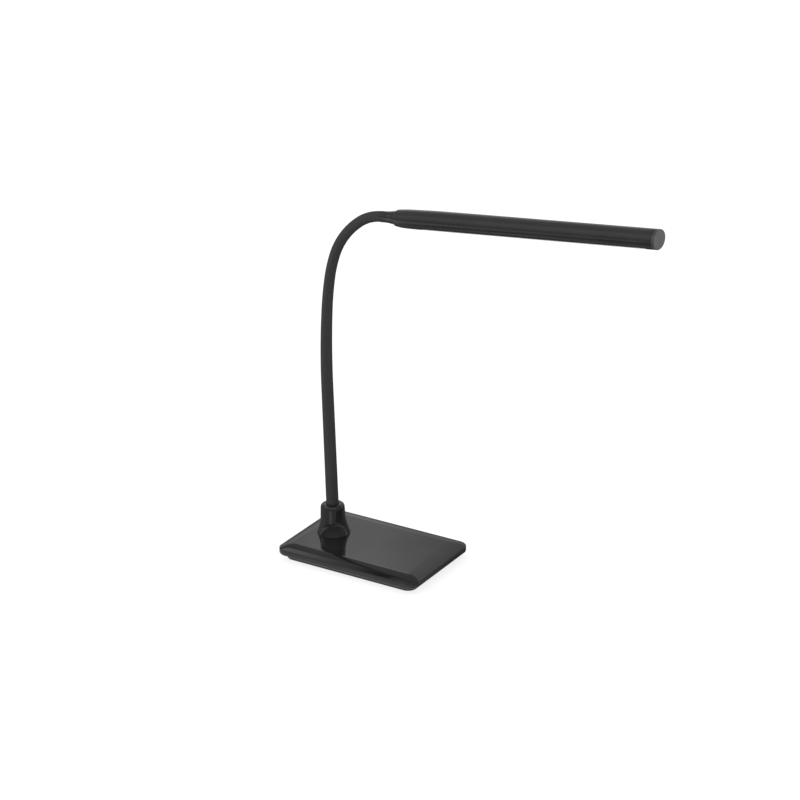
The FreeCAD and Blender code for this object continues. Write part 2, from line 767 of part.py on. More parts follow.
def make_layer(link, layer, outer, bore, ball, reach):
    """One layer of a link: hollowed at its foot for the ball of the link below."""
    name = "{}_{:02d}".format(layer, link.index)
    outside = [link.bar(name + "_bar", outer)]
    if ball:
        tip = doc.addObject("Part::Sphere", name + "_ball")
        bind(tip, Radius=outer)
        tip.Placement = link.end_inside()
        outside.append(tip)
    else:
        outside.append(link.tip_rod(name + "_reach", outer, reach))
    tools = []
    if bore is not None:
        tools.append(link.bar(name + "_bore", bore))
        tools.append(link.tip_rod(name + "_bore_reach", bore, reach + CUT_PAST))
    if link.index > 0:
        cup = doc.addObject("Part::Sphere", name + "_cup")
        tools.append(bind(cup, Radius=sleeve_radius_at(link.index - 1) + size.joint_gap))
    solid = fuse(name + "_outside", *outside)
    if tools:
        solid = cut(name, solid, *tools)
    keep(name, solid, link.start)


def make_gooseneck(links):
    last = len(links) - 1
    core_end = size.head_seat + size.core_overhang
    for link in links:
        at_head = link.index == last
        core_reach = core_end if at_head else size.core_overhang
        lead_reach = size.carrier_start - size.joint_gap if at_head else size.core_overhang
        radius = sleeve_radius_at(link.index)
        make_layer(link, "sleeve", radius, size.sleeve_bore, not at_head, size.head_seat)
        make_layer(link, "core", size.core_radius, size.core_bore, False, core_reach)
        make_layer(link, "lead", size.lead_radius, None, False, lead_reach)


# Lamp head, drawn with X along the head from the end of the gooseneck

ACROSS_HEAD = Rotation(Vector(0, 1, 0), Vector(0, 0, 1), Vector(1, 0, 0), "XYZ")


def oval(name, x, top, bottom, half_width):
    """An ellipse across the head, from its rise above and drop below the head's axis."""
    top, bottom = as_size(top), as_size(bottom)
    section = doc.addObject("Part::Ellipse", name)
    bind(section, MajorRadius=half_width, MinorRadius=(top + bottom) / 2)
    return put(section, x=x, z=(top - bottom) / 2, rotation=ACROSS_HEAD)


def oval_loft(name, *sections):
    result = doc.addObject("Part::Loft", name)
    result.Sections = list(sections)
    result.Solid = True
    result.Ruled = False
    return result


def oval_bar(name, start, end, half_height, half_width):
    """A straight bar of the full oval section."""
    section = oval(name + "_section", start, half_height, half_height, half_width)
    bar = doc.addObject("Part::Extrusion", name)
    bar.Base = section
    bar.DirMode = "Custom"
    bar.Dir = Vector(1, 0, 0)
    bar.Solid = True
    bind(bar, LengthFwd=as_size(end) - start)
    return bar


def head_shape(name, thinner, end):
    """The head's outer shape, or the hollow inside it when a wall is taken off."""
    root = oval_loft(
        name + "_root",
        oval(name + "_mouth", size.mouth_x, size.mouth_top - thinner, size.mouth_bottom - thinner,
             size.mouth_half_width - thinner),
        oval(name + "_swell", size.swell_x, size.swell_top - thinner, size.swell_bottom - thinner,
             size.swell_half_width - thinner),
        oval(name + "_full", size.full_x, size.head_half_height - thinner,
             size.head_half_height - thinner, size.head_half_width - thinner))
    bar = oval_bar(name + "_bar", size.full_x, end, size.head_half_height - thinner,
                   size.head_half_width - thinner)
    return fuse(name, root, bar)


def diffuser_span(name, gap):
    """The box that the diffuser's window takes out of the housing."""
    half = size.diffuser_width / 2 - gap
    return block(name, [(size.diffuser_start + gap, size.head_length - size.diffuser_end_margin - gap),
                        (-half, half), (-2 * size.head_half_height, -0.5 * size.head_half_height)])


def carrier_screw_places():
    return [size.carrier_start + size.carrier_screw_inset, carrier_end - size.carrier_screw_inset]


def make_housing(head):
    end = size.head_length - size.end_cap_thickness
    shell = cut("housing_shell", head_shape("housing_outside", 0.0, end),
                head_shape("housing_inside", size.head_wall, end + CUT_PAST))
    post_top = size.head_half_height - size.head_wall / 2
    post_bottom = size.carrier_top + size.trim_gap
    posts = [rod("housing_post_{}".format(i), size.post_radius, post_top - post_bottom, x, 0.0, post_bottom)
             for i, x in enumerate(carrier_screw_places())]
    pilots = [rod("housing_pilot_{}".format(i), size.carrier_screw_radius + size.screw_gap,
                  size.carrier_pilot_depth, x, 0.0, size.carrier_top)
              for i, x in enumerate(carrier_screw_places())]
    trimmed = []
    for index, post in enumerate(posts):
        inside = head_shape("post_limit_{}".format(index), size.head_wall / 2, end)
        trimmed.append(common("housing_post_trimmed_{}".format(index), post, inside))
    whole = fuse("housing_with_posts", shell, *trimmed)
    keep("head_housing", cut("head_housing", whole, diffuser_span("housing_window", 0.0), *pilots), head)


def make_diffuser(head):
    end = size.head_length - size.end_cap_thickness
    strip = cut("diffuser_shell", head_shape("diffuser_outside", 0.0, end),
                head_shape("diffuser_inside", size.head_wall, end + CUT_PAST))
    keep("head_diffuser", common("head_diffuser", strip, diffuser_span("diffuser_span", size.trim_gap)), head)


def make_end_cap(head):
    start = size.head_length - size.end_cap_thickness
    disc = oval_bar("end_cap_disc", start, size.head_length, size.head_half_height, size.head_half_width)
    off = size.head_wall + size.trim_gap
    plug = oval_bar("end_cap_plug_out", start - size.end_cap_plug, start + SINK,
                    size.head_half_height - off, size.head_half_width - off)
    off_inside = off + size.head_wall
    hollow = oval_bar("end_cap_plug_in", start - size.end_cap_plug - CUT_PAST, start,
                      size.head_half_height - off_inside, size.head_half_width - off_inside)
    keep("head_end_cap", cut("head_end_cap", fuse("end_cap_outside", disc, plug), hollow), head)


def make_ferrule(head):
    radius = size.sleeve_top_radius + size.ferrule_wall
    cone = oval_loft(
        "ferrule_cone",
        oval("ferrule_start", 0.0, radius, radius, radius),
        oval("ferrule_middle", size.ferrule_mid_x, radius, size.ferrule_mid_bottom,
             size.ferrule_mid_half_width),
        oval("ferrule_end", size.mouth_x - size.trim_gap, size.mouth_top - size.ferrule_step,
             size.mouth_bottom - size.ferrule_step, size.mouth_half_width - size.ferrule_step))
    slack = size.head_wall + size.trim_gap
    spigot = oval_bar("ferrule_spigot", size.mouth_x - SINK, size.mouth_x + size.spigot_length,
                      (size.mouth_top + size.mouth_bottom) / 2 - slack - size.slip_gap - size.trim_gap,
                      size.mouth_half_width - slack)
    sleeve_seat = rod("ferrule_sleeve_seat", size.sleeve_top_radius + size.fit_gap,
                      size.head_seat + size.trim_gap + CUT_PAST, x=-CUT_PAST, rotation=ALONG_X)
    core_seat = rod("ferrule_core_seat", size.core_radius + size.fit_gap,
                    size.head_seat + size.core_overhang + size.trim_gap, rotation=ALONG_X)
    lead_way = rod("ferrule_lead_way", size.core_bore, size.mouth_x + size.spigot_length + CUT_PAST,
                   rotation=ALONG_X)
    keep("head_ferrule", cut("head_ferrule", fuse("ferrule_outside", cone, spigot),
                             sleeve_seat, core_seat, lead_way), head)


def make_light_engine(head):
    start, end = size.carrier_start, carrier_end
    bottom = size.carrier_top - size.carrier_thickness
    half = size.head_half_width - size.head_wall - size.carrier_side_gap
    bar = block("carrier_bar", [(start, end), (-half, half), (bottom, size.carrier_top)])
    inside = head_shape("carrier_limit", size.head_wall + size.trim_gap, end + CUT_PAST)
    holes = [rod("carrier_hole_{}".format(i), size.carrier_screw_radius + size.slip_gap,
                 size.carrier_thickness + 2 * CUT_PAST, x, 0.0, bottom - CUT_PAST)
             for i, x in enumerate(carrier_screw_places())]
    keep("diode_carrier", cut("diode_carrier", common("carrier_trimmed", bar, inside), *holes), head)

    screws = []
    for index, x in enumerate(carrier_screw_places()):
        screw = make_screw("carrier_screw_{}".format(index), size.carrier_screw_head,
                           size.carrier_screw_head_height, size.carrier_screw_radius,
                           size.carrier_thickness + size.carrier_screw_grip)
        screws.append(put(screw, x, 0.0, bottom - size.carrier_screw_head_height))
    keep("carrier_screws", group("carrier_screws", screws), head)

    strip_start, strip_end = start + size.strip_margin, end - size.strip_margin
    strip_bottom = bottom - size.strip_thickness
    strip = block("strip_board", [(strip_start, strip_end), (-size.strip_width / 2, size.strip_width / 2),
                                  (strip_bottom, bottom)])
    keep("diode_strip", group("diode_strip", [strip]), head)
    pitch = (strip_end - strip_start) / DIODE_COUNT
    diodes = []
    for index in range(DIODE_COUNT):
        middle = strip_start + pitch * (index + 0.5)
        diodes.append(block("diode_{}".format(index),
                            [(middle - size.diode_length / 2, middle + size.diode_length / 2),
                             (-size.diode_width / 2, size.diode_width / 2),
                             (strip_bottom - size.diode_height, strip_bottom)]))
    keep("light_diodes", group("light_diodes", diodes), head)


def check_and_write():
    """Stop on any failed object, then write one file for each piece."""
    doc.recompute()
    for obj in doc.Objects:
        if any(word in obj.State for word in ("Invalid", "Error")):
            raise RuntimeError("{} failed: {}".format(obj.Name, obj.State))
    for label, obj in pieces.items():
        if obj.Shape.isNull() or not obj.Shape.isValid() or not obj.Shape.Solids:
            raise RuntimeError("{} has no valid solid".format(label))
    os.makedirs("parts", exist_ok=True)
    for label, obj in pieces.items():
        obj.Shape.exportStep(os.path.join("parts", label + ".step"))
        print("{:16s} {} solids {:10.1f} mm3".format(label, len(obj.Shape.Solids), obj.Shape.Volume))


def main():
    make_pad()
    make_tray()
    make_ballast()
    make_cover()
    make_tray_screws()
    make_gland()
    make_board()
    make_collar()
    make_stud()
    make_lead_tail()
    links = gooseneck_links()
    make_gooseneck(links)
    head = links[-1].end.multiply(Placement(Vector(), Rotation(Vector(0, 1, 0), -90)))
    make_housing(head)
    make_diffuser(head)
    make_end_cap(head)
    make_ferrule(head)
    make_light_engine(head)
    for link in links[1:]:
        at = link.start.Base
        ahead = link.start.Rotation.multVec(Vector(0, 0, 1))
        lean = math.degrees(math.atan2(ahead.x, ahead.z))
        print("bend {} at {:.4f} {:.4f} {:.4f}, lean {:.3f}".format(link.index, at.x, at.y, at.z, lean))
    check_and_write()


main()
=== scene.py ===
"""The looks of a gooseneck desk lamp with a slim light bar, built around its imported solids.

Everything is in metres, in the frame of the solids: +X along the base towards the tip of the lamp
head, +Y to the back of the base and +Z up from the surface that the lamp stands on.
"""
import json
import math

import bmesh
import bpy
from bpy.props import FloatProperty, FloatVectorProperty, IntProperty, PointerProperty
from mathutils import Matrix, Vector

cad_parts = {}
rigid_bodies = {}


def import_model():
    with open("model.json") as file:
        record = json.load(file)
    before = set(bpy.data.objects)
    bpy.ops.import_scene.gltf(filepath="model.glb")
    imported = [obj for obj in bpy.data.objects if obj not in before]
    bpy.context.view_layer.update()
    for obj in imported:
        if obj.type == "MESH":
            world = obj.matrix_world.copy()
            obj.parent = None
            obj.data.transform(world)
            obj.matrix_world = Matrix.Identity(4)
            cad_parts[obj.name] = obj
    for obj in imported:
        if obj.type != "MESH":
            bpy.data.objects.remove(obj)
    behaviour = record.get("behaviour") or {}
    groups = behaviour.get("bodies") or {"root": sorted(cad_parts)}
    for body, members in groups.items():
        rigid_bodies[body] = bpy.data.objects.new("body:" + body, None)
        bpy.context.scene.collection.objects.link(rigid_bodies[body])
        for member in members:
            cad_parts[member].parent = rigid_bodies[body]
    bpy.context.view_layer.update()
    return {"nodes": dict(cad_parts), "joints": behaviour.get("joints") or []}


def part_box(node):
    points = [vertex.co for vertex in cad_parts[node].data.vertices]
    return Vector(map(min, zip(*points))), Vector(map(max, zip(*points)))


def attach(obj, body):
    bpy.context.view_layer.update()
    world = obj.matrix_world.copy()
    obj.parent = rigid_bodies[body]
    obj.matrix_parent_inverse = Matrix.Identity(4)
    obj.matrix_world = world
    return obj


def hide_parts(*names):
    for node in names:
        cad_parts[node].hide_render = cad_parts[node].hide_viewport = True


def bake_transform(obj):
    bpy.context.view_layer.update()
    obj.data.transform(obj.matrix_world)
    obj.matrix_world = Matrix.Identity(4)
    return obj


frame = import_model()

bl_info = {
    "name": "Gooseneck desk lamp",
    "version": (1, 0, 0),
    "blender": (4, 5, 0),
    "location": "3D View > Sidebar > Desk Lamp",
    "description": "Builds the visible pieces, finishes and studio of a gooseneck desk lamp",
    "category": "Object",
}

MM = 0.001
TINY = 1e-7


# Places read from the solids

SHELL_LOW, SHELL_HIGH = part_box("base_cover")
GLAND_LOW, GLAND_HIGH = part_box("cord_gland")
SCREWS_LOW, SCREWS_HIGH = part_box("tray_screws")
STUD_LOW, STUD_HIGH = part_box("neck_stud")
STUD_X = (STUD_LOW.x + STUD_HIGH.x) / 2
SHELL_TOP = SHELL_HIGH.z


# Settings

def length(name, description, default):
    return FloatProperty(name=name, description=description, default=default,
                         unit="LENGTH", subtype="DISTANCE", precision=5)


def angle(name, description, default_degrees):
    return FloatProperty(name=name, description=description, default=math.radians(default_degrees),
                         unit="ROTATION", subtype="ANGLE")


def share(name, description, default):
    return FloatProperty(name=name, description=description, default=default, min=0.0, max=1.0,
                         subtype="FACTOR")


def colour(name, description, default):
    return FloatVectorProperty(name=name, description=description, default=default, size=3,
                               min=0.0, max=1.0, subtype="COLOR")


class BaseSettings(bpy.types.PropertyGroup):
    length: length("Length", "Length of the shell along X", SHELL_HIGH.x - SHELL_LOW.x)
    width: length("Width", "Width of the shell along Y", SHELL_HIGH.y - SHELL_LOW.y)
    corner: length("Corner", "Plan radius of the shell's corners", 10.0 * MM)
    crown_inset: length("Crown inset", "How far in from the side the top becomes flat", 13.8 * MM)
    crown_drop: length("Crown drop", "How far the crowned edge falls from the top", 4.0 * MM)
    edge_round: length("Edge round", "Radius between the side and the crowned edge", 0.7 * MM)
    lip_round: length("Lip round", "Radius along the lower edge of the shell", 0.6 * MM)
    wall: length("Wall", "Wall thickness of the shell", 2.0 * MM)
    stud_hole: length("Stud hole", "Radius of the hole for the neck stud", 5.15 * MM)


class CollarSettings(bpy.types.PropertyGroup):
    height: length("Height", "Height of the collar along the neck", 28.5 * MM)
    lean: angle("Lean", "Backward lean of the collar and the foot of the neck", 2.1)
    foot_radius: length("Foot radius", "Outer radius of the flared foot", 15.0 * MM)
    foot_edge: length("Foot edge", "Height of the edge under the flare", 0.6 * MM)
    flare_radius: length("Flare radius", "Radius of the flare where it meets the foot's edge", 14.5 * MM)
    flare_height: length("Flare height", "How high up the flare reaches", 12.0 * MM)
    top_radius: length("Top radius", "Radius of the cone at its top", 10.75 * MM)
    low_radius: length("Low radius", "Radius of the cone at its foot", 12.1 * MM)
    shoulder: length("Shoulder", "Radius of the rounded top edge", 3.4 * MM)
    bore: length("Bore", "Radius of the hole for the sleeve", 5.7 * MM)


class NeckSettings(bpy.types.PropertyGroup):
    low_radius: length("Low radius", "Outer radius of the sleeve in the collar", 5.65 * MM)
    high_radius: length("High radius", "Outer radius of the sleeve at the head", 4.65 * MM)
    wall: length("Wall", "Wall thickness of the sleeve", 0.5 * MM)
    ring_step: length("Ring step", "Distance between rings along the sleeve", 1.5 * MM)
    last_length: length("Last length", "Length of the neck from the last bend to the head", 24.0 * MM)
    last_turn: angle("Last turn", "Bend of the neck between the last bending point and the head", 31.2)
    head_seat: length("Head seat", "How far the sleeve goes into the head", 11.5 * MM)
    bend_share: share("Bend share", "Share of each stretch that bends with a joint", 0.97)
    segments: IntProperty(name="Segments", description="Sides of the sleeve", default=56, min=12)


class HeadSettings(bpy.types.PropertyGroup):
    length: length("Length", "Length from the end of the neck to the tip", 263.5 * MM)
    half_height: length("Half height", "Half the height of the bar", 8.3 * MM)
    half_width: length("Half width", "Half the width of the bar", 11.0 * MM)
    wall: length("Wall", "Wall thickness of the housing", 1.4 * MM)
    cap_thickness: length("Cap thickness", "Thickness of the end cap", 2.2 * MM)
    window_start: length("Window start", "Where the light window starts", 44.0 * MM)
    window_end: length("Window end", "Where the light window ends", 253.9 * MM)
    window_half: length("Window half width", "Half the width of the light window", 7.5 * MM)
    seam: length("Seam", "Gap around the diffuser", 0.1 * MM)
    diodes: IntProperty(name="Diodes", description="Number of light diodes in the row", default=24, min=1)


class FinishSettings(bpy.types.PropertyGroup):
    shell: colour("Shell", "High gloss moulding of the base and collar", (0.010, 0.010, 0.0115))
    sleeve: colour("Sleeve", "Matt sleeve of the neck", (0.029, 0.029, 0.030))
    head: colour("Head", "Satin moulding of the head", (0.0160, 0.0160, 0.0170))
    cap: colour("End cap", "Satin end cap of the head", (0.050, 0.050, 0.052))
    tray: colour("Tray", "Textured moulding under the shell", (0.034, 0.034, 0.036))
    opal: colour("Opal", "Milky light diffuser", (0.80, 0.80, 0.79))
    dust: colour("Dust", "Fine dust and haze on the dark mouldings", (0.16, 0.155, 0.15))
    dust_amount: share("Dust amount", "How much of the dust shows", 0.10)


class StageSettings(bpy.types.PropertyGroup):
    floor: colour("Floor", "Pale floor", (0.82, 0.82, 0.82))
    floor_size: length("Floor size", "Side of the square floor", 8.0)
    lens: FloatProperty(name="Lens", description="Focal length of the camera in millimetres",
                        default=121.80, unit="CAMERA")
    place: FloatVectorProperty(name="Camera place", description="Where the camera stands", size=3,
                               default=(1.1595672, -1.8651773, 1.0701712), subtype="XYZ", unit="LENGTH")
    pitch: angle("Camera pitch", "How far the camera looks down", 22.652)
    yaw: angle("Camera yaw", "How far the camera turns from +Y towards -X", 31.231)


SETTINGS = {"lamp_base": BaseSettings, "lamp_collar": CollarSettings, "lamp_neck": NeckSettings,
            "lamp_head": HeadSettings, "lamp_finish": FinishSettings, "lamp_stage": StageSettings}


# Mesh helpers

def new_object(name, mesh):
    obj = bpy.data.objects.new(name, mesh)
    bpy.context.scene.collection.objects.link(obj)
    return obj


def smooth(mesh, sharp_degrees=38):
    """Smooth shading with sharp edges where faces meet at more than the given angle."""
    mesh.shade_smooth()
    mesh.set_sharp_from_angle(angle=math.radians(sharp_degrees))


def quads(rings, loop=False, skipped=None):
    """Points and faces of a surface over rings of equal count, without the faces that a test skips."""
    count = len(rings[0])
    faces = []
    for a in range(len(rings) if loop else len(rings) - 1):
        b = (a + 1) % len(rings)
        for i in range(count):
            if skipped is None or not skipped(a, i):
                j = (i + 1) % count
                faces.append((a * count + i, a * count + j, b * count + j, b * count + i))
    return [point for ring in rings for point in ring], faces


def skin(name, rings, material, loop=False, caps=False, sharp=38):
    """A surface over rings of equal count, closed into a loop or with flat caps where asked."""
    points, faces = quads(rings, loop)
    if caps:
        end = len(points) - len(rings[0])
        faces += [tuple(range(len(rings[0]))), tuple(range(end, len(points)))]
    mesh = bpy.data.meshes.new(name)
    mesh.from_pydata(points, [], faces)
    outward(mesh)
    smooth(mesh, sharp)
    mesh.materials.append(material)
    return new_object(name, mesh)


def outward(mesh):
    """Merge doubled points and turn every face outwards."""
    work = bmesh.new()
    work.from_mesh(mesh)
    bmesh.ops.remove_doubles(work, verts=work.verts, dist=TINY)
    bmesh.ops.dissolve_degenerate(work, edges=work.edges, dist=TINY / 10)
    bmesh.ops.recalc_face_normals(work, faces=work.faces)
    work.to_mesh(mesh)
    work.free()


def apply_modifiers(obj, sharp=38):
    """Replace an object's mesh by what its modifiers make of it."""
    graph = bpy.context.evaluated_depsgraph_get()
    mesh = bpy.data.meshes.new_from_object(obj.evaluated_get(graph))
    obj.modifiers.clear()
    old = obj.data
    obj.data = mesh
    mesh.name = obj.name
    bpy.data.meshes.remove(old)
    smooth(mesh, sharp)
    return obj


def add_wall(obj, thickness):
    """Give an open surface a wall on its inner side."""
    wall = obj.modifiers.new("wall", "SOLIDIFY")
    wall.thickness = thickness
    wall.offset = -1.0


def arc(centre, radius, start, end, steps):
    """Points of an arc in a flat profile, from one angle to another in degrees."""
    angles = [math.radians(start + (end - start) * i / steps) for i in range(steps + 1)]
    return [(centre[0] + radius * math.cos(a), centre[1] + radius * math.sin(a)) for a in angles]


def full_circle(count):
    return [2 * math.pi * i / count for i in range(count)]


def round_ring(centre, side, depth, radius, segments):
    """Points round a centre, in the plane of two directions."""
    return [centre + side * radius * math.cos(a) + depth * radius * math.sin(a)
            for a in full_circle(segments)]


def mix(low, high, t):
    return low + (high - low) * t


def ease(points, x):
    """A smooth curve through (x, value) points, level after the last one."""
    if x <= points[0][0]:
        return points[0][1]
    if x >= points[-1][0]:
        return points[-1][1]
    slopes = [0.0] * len(points)
    for i in range(1, len(points) - 1):
        slopes[i] = (points[i + 1][1] - points[i - 1][1]) / (points[i + 1][0] - points[i - 1][0])
    slopes[0] = (points[1][1] - points[0][1]) / (points[1][0] - points[0][0]) * 1.5 - slopes[1] / 2
    for i in range(len(points) - 1):
        (x0, v0), (x1, v1) = points[i], points[i + 1]
        if x <= x1:
            h = x1 - x0
            t = (x - x0) / h
            return (v0 * (2 * t ** 3 - 3 * t ** 2 + 1) + v1 * (3 * t ** 2 - 2 * t ** 3)
                    + h * slopes[i] * (t ** 3 - 2 * t ** 2 + t) + h * slopes[i + 1] * (t ** 3 - t ** 2))


# Node helpers

def fill(tree, sockets, values):
    """Link each named socket to the socket given for it, or set it to the value given."""
    for name, value in values.items():
        if isinstance(value, bpy.types.NodeSocket):
            tree.links.new(value, sockets[name])
        else:
            sockets[name].default_value = value


def add(tree, kind, inputs=None, **properties):
    """Add a node. Inputs that are sockets are linked, and others are set."""
    node = tree.nodes.new(kind)
    for name, value in properties.items():
        setattr(node, name, value)
    fill(tree, node.inputs, inputs or {})
    return node


def maths(tree, operation, *values):
    return add(tree, "ShaderNodeMath", dict(enumerate(values)), operation=operation).outputs[0]


def blend_colours(tree, factor, first, second):
    node = add(tree, "ShaderNodeMix", data_type="RGBA")
    sockets = {socket.identifier: socket for socket in node.inputs}
    fill(tree, sockets, {"Factor_Float": factor, "A_Color": first, "B_Color": second})
    return next(s for s in node.outputs if s.identifier == "Result_Color")


def remap(tree, value, low, high, new_low, new_high):
    inputs = {"Value": value, "From Min": low, "From Max": high, "To Min": new_low, "To Max": new_high}
    return add(tree, "ShaderNodeMapRange", inputs).outputs["Result"]


def noise(tree, vector, scale, detail, roughness=0.5):
    inputs = {"Vector": vector, "Scale": scale, "Detail": detail, "Roughness": roughness}
    return add(tree, "ShaderNodeTexNoise", inputs).outputs["Fac"]


def stretched(tree, vector, scale):
    return add(tree, "ShaderNodeMapping", {"Vector": vector, "Scale": scale}).outputs["Vector"]


def new_group(name, inputs, outputs, kind="ShaderNodeTree"):
    """An empty node group with named sockets, each given as (name, type, default)."""
    tree = bpy.data.node_groups.new(name, kind)
    for label, socket_type, default in inputs:
        socket = tree.interface.new_socket(label, in_out="INPUT", socket_type="NodeSocket" + socket_type)
        if default is not None:
            socket.default_value = default
    for label, socket_type in outputs:
        tree.interface.new_socket(label, in_out="OUTPUT", socket_type="NodeSocket" + socket_type)
    start = tree.nodes.new("NodeGroupInput")
    end = tree.nodes.new("NodeGroupOutput")
    return tree, start.outputs, end.inputs


def geometry_tree(name, inputs):
    """An empty geometry tree that takes the finish as its last input."""
    return new_group(name, inputs + [("Finish", "Material", None)], [("Geometry", "Geometry")],
                     "GeometryNodeTree")


def put_out(tree, geometry, given, result):
    """End a geometry tree with real geometry in its finish."""
    real = add(tree, "GeometryNodeRealizeInstances", {"Geometry": geometry}).outputs["Geometry"]
    done = add(tree, "GeometryNodeSetMaterial", {"Geometry": real, "Material": given["Finish"]})
    fill(tree, result, {"Geometry": done.outputs["Geometry"]})
    return tree


# Effects that several finishes share

def moulded_grain():
    """Fine moulded texture: height, and a small change of roughness."""
    tree, given, result = new_group(
        "Moulded grain",
        [("Vector", "Vector", None), ("Scale", "Float", 1800.0), ("Roughness", "Float", 0.5),
         ("Roughness change", "Float", 0.06)],
        [("Height", "Float"), ("Roughness", "Float")])
    fine = noise(tree, given["Vector"], given["Scale"], 3.0, 0.6)
    coarse = noise(tree, given["Vector"], 90.0, 2.0)
    change = maths(tree, "MULTIPLY", maths(tree, "SUBTRACT", coarse, 0.5), given["Roughness change"])
    rough = maths(tree, "ADD", given["Roughness"], maths(tree, "MULTIPLY", change, 2.0))
    fill(tree, result, {"Height": fine, "Roughness": rough})
    return tree


def dust_film():
    """Thin dust and haze: lightens the colour in specks and soft patches."""
    tree, given, result = new_group(
        "Dust film",
        [("Vector", "Vector", None), ("Colour", "Color", (0.01, 0.01, 0.01, 1.0)),
         ("Dust colour", "Color", (0.16, 0.155, 0.15, 1.0)), ("Amount", "Float", 0.1),
         ("Speck scale", "Float", 2600.0)],
        [("Colour", "Color"), ("Mask", "Float")])
    patches = noise(tree, given["Vector"], 38.0, 4.0)
    specks = add(tree, "ShaderNodeTexVoronoi", {"Vector": given["Vector"], "Scale": given["Speck scale"]})
    dots = remap(tree, specks.outputs["Distance"], 0.0, 0.28, 1.0, 0.0)
    veil = remap(tree, patches, 0.42, 0.72, 0.0, 1.0)
    mask = maths(tree, "MULTIPLY", given["Amount"],
                 maths(tree, "ADD", maths(tree, "MULTIPLY", veil, 0.35), maths(tree, "MULTIPLY", dots, veil)))
    dusty = blend_colours(tree, mask, given["Colour"], given["Dust colour"])
    fill(tree, result, {"Colour": dusty, "Mask": mask})
    return tree


def hairlines():
    """Very fine wipe marks: long thin noise in one direction, as a mask."""
    tree, given, result = new_group(
        "Wipe marks",
        [("Vector", "Vector", None), ("Turn", "Float", 0.4), ("Scale", "Float", 220.0)],
        [("Mask", "Float")])
    turned = add(tree, "ShaderNodeVectorRotate", {"Vector": given["Vector"], "Angle": given["Turn"]},
                 rotation_type="Z_AXIS").outputs["Vector"]
    lines = noise(tree, stretched(tree, turned, (0.06, 1.0, 0.06)), given["Scale"], 6.0, 0.7)
    fill(tree, result, {"Mask": remap(tree, lines, 0.60, 0.72, 0.0, 1.0)})
    return tree


def brushed_lines():
    """Fine parallel lines of rolled or turned metal along X: colour shade, roughness and height."""
    tree, given, result = new_group(
        "Rolled metal",
        [("Vector", "Vector", None), ("Scale", "Float", 900.0), ("Light", "Color", (0.6, 0.6, 0.6, 1.0)),
         ("Dark", "Color", (0.4, 0.4, 0.4, 1.0))],
        [("Colour", "Color"), ("Roughness", "Float"), ("Height", "Float")])
    lines = noise(tree, stretched(tree, given["Vector"], (0.04, 1.0, 1.0)), given["Scale"], 4.0)
    fill(tree, result, {"Colour": blend_colours(tree, lines, given["Dark"], given["Light"]),
                        "Roughness": remap(tree, lines, 0.0, 1.0, 0.28, 0.46), "Height": lines})
    return tree


RUBBER = (0.022, 0.022, 0.023)

# Name, colour, roughness, scale and depth of the grain in mm, and dust of the plain mouldings
PLAIN_MOULDINGS = (
    ("pad rubber", RUBBER, 0.75, 1200.0, 0.05, 0.2),
    ("tape foam", (0.62, 0.62, 0.60), 0.9, 1400.0, 0.08, 0.0),
    ("lead jacket", (0.50, 0.50, 0.48), 0.5, 900.0, 0.01, 0.0),
    ("terminal moulding", (0.70, 0.69, 0.64), 0.45, 1600.0, 0.01, 0.0),
    ("chip moulding", (0.025, 0.025, 0.025), 0.55, 3200.0, 0.01, 0.0),
    ("board laminate", (0.03, 0.14, 0.07), 0.3, 700.0, 0.006, 0.0),
    ("strip mask", (0.80, 0.80, 0.80), 0.35, 900.0, 0.004, 0.0),
    ("diode phosphor", (0.82, 0.66, 0.16), 0.3, 2600.0, 0.004, 0.0),
)

# Name, light and dark colour, and scale of the lines of the rolled or turned metals
ROLLED_METALS = (
    ("ballast steel", (0.44, 0.44, 0.45), (0.30, 0.30, 0.31), 500.0),
    ("zinc plate", (0.62, 0.62, 0.64), (0.48, 0.48, 0.50), 1500.0),
    ("turned brass", (0.78, 0.62, 0.32), (0.60, 0.46, 0.22), 1800.0),
    ("mill aluminium", (0.80, 0.80, 0.82), (0.66, 0.66, 0.68), 900.0),
)

# Finishes by name, filled when the finishes are made
FINISH = {}


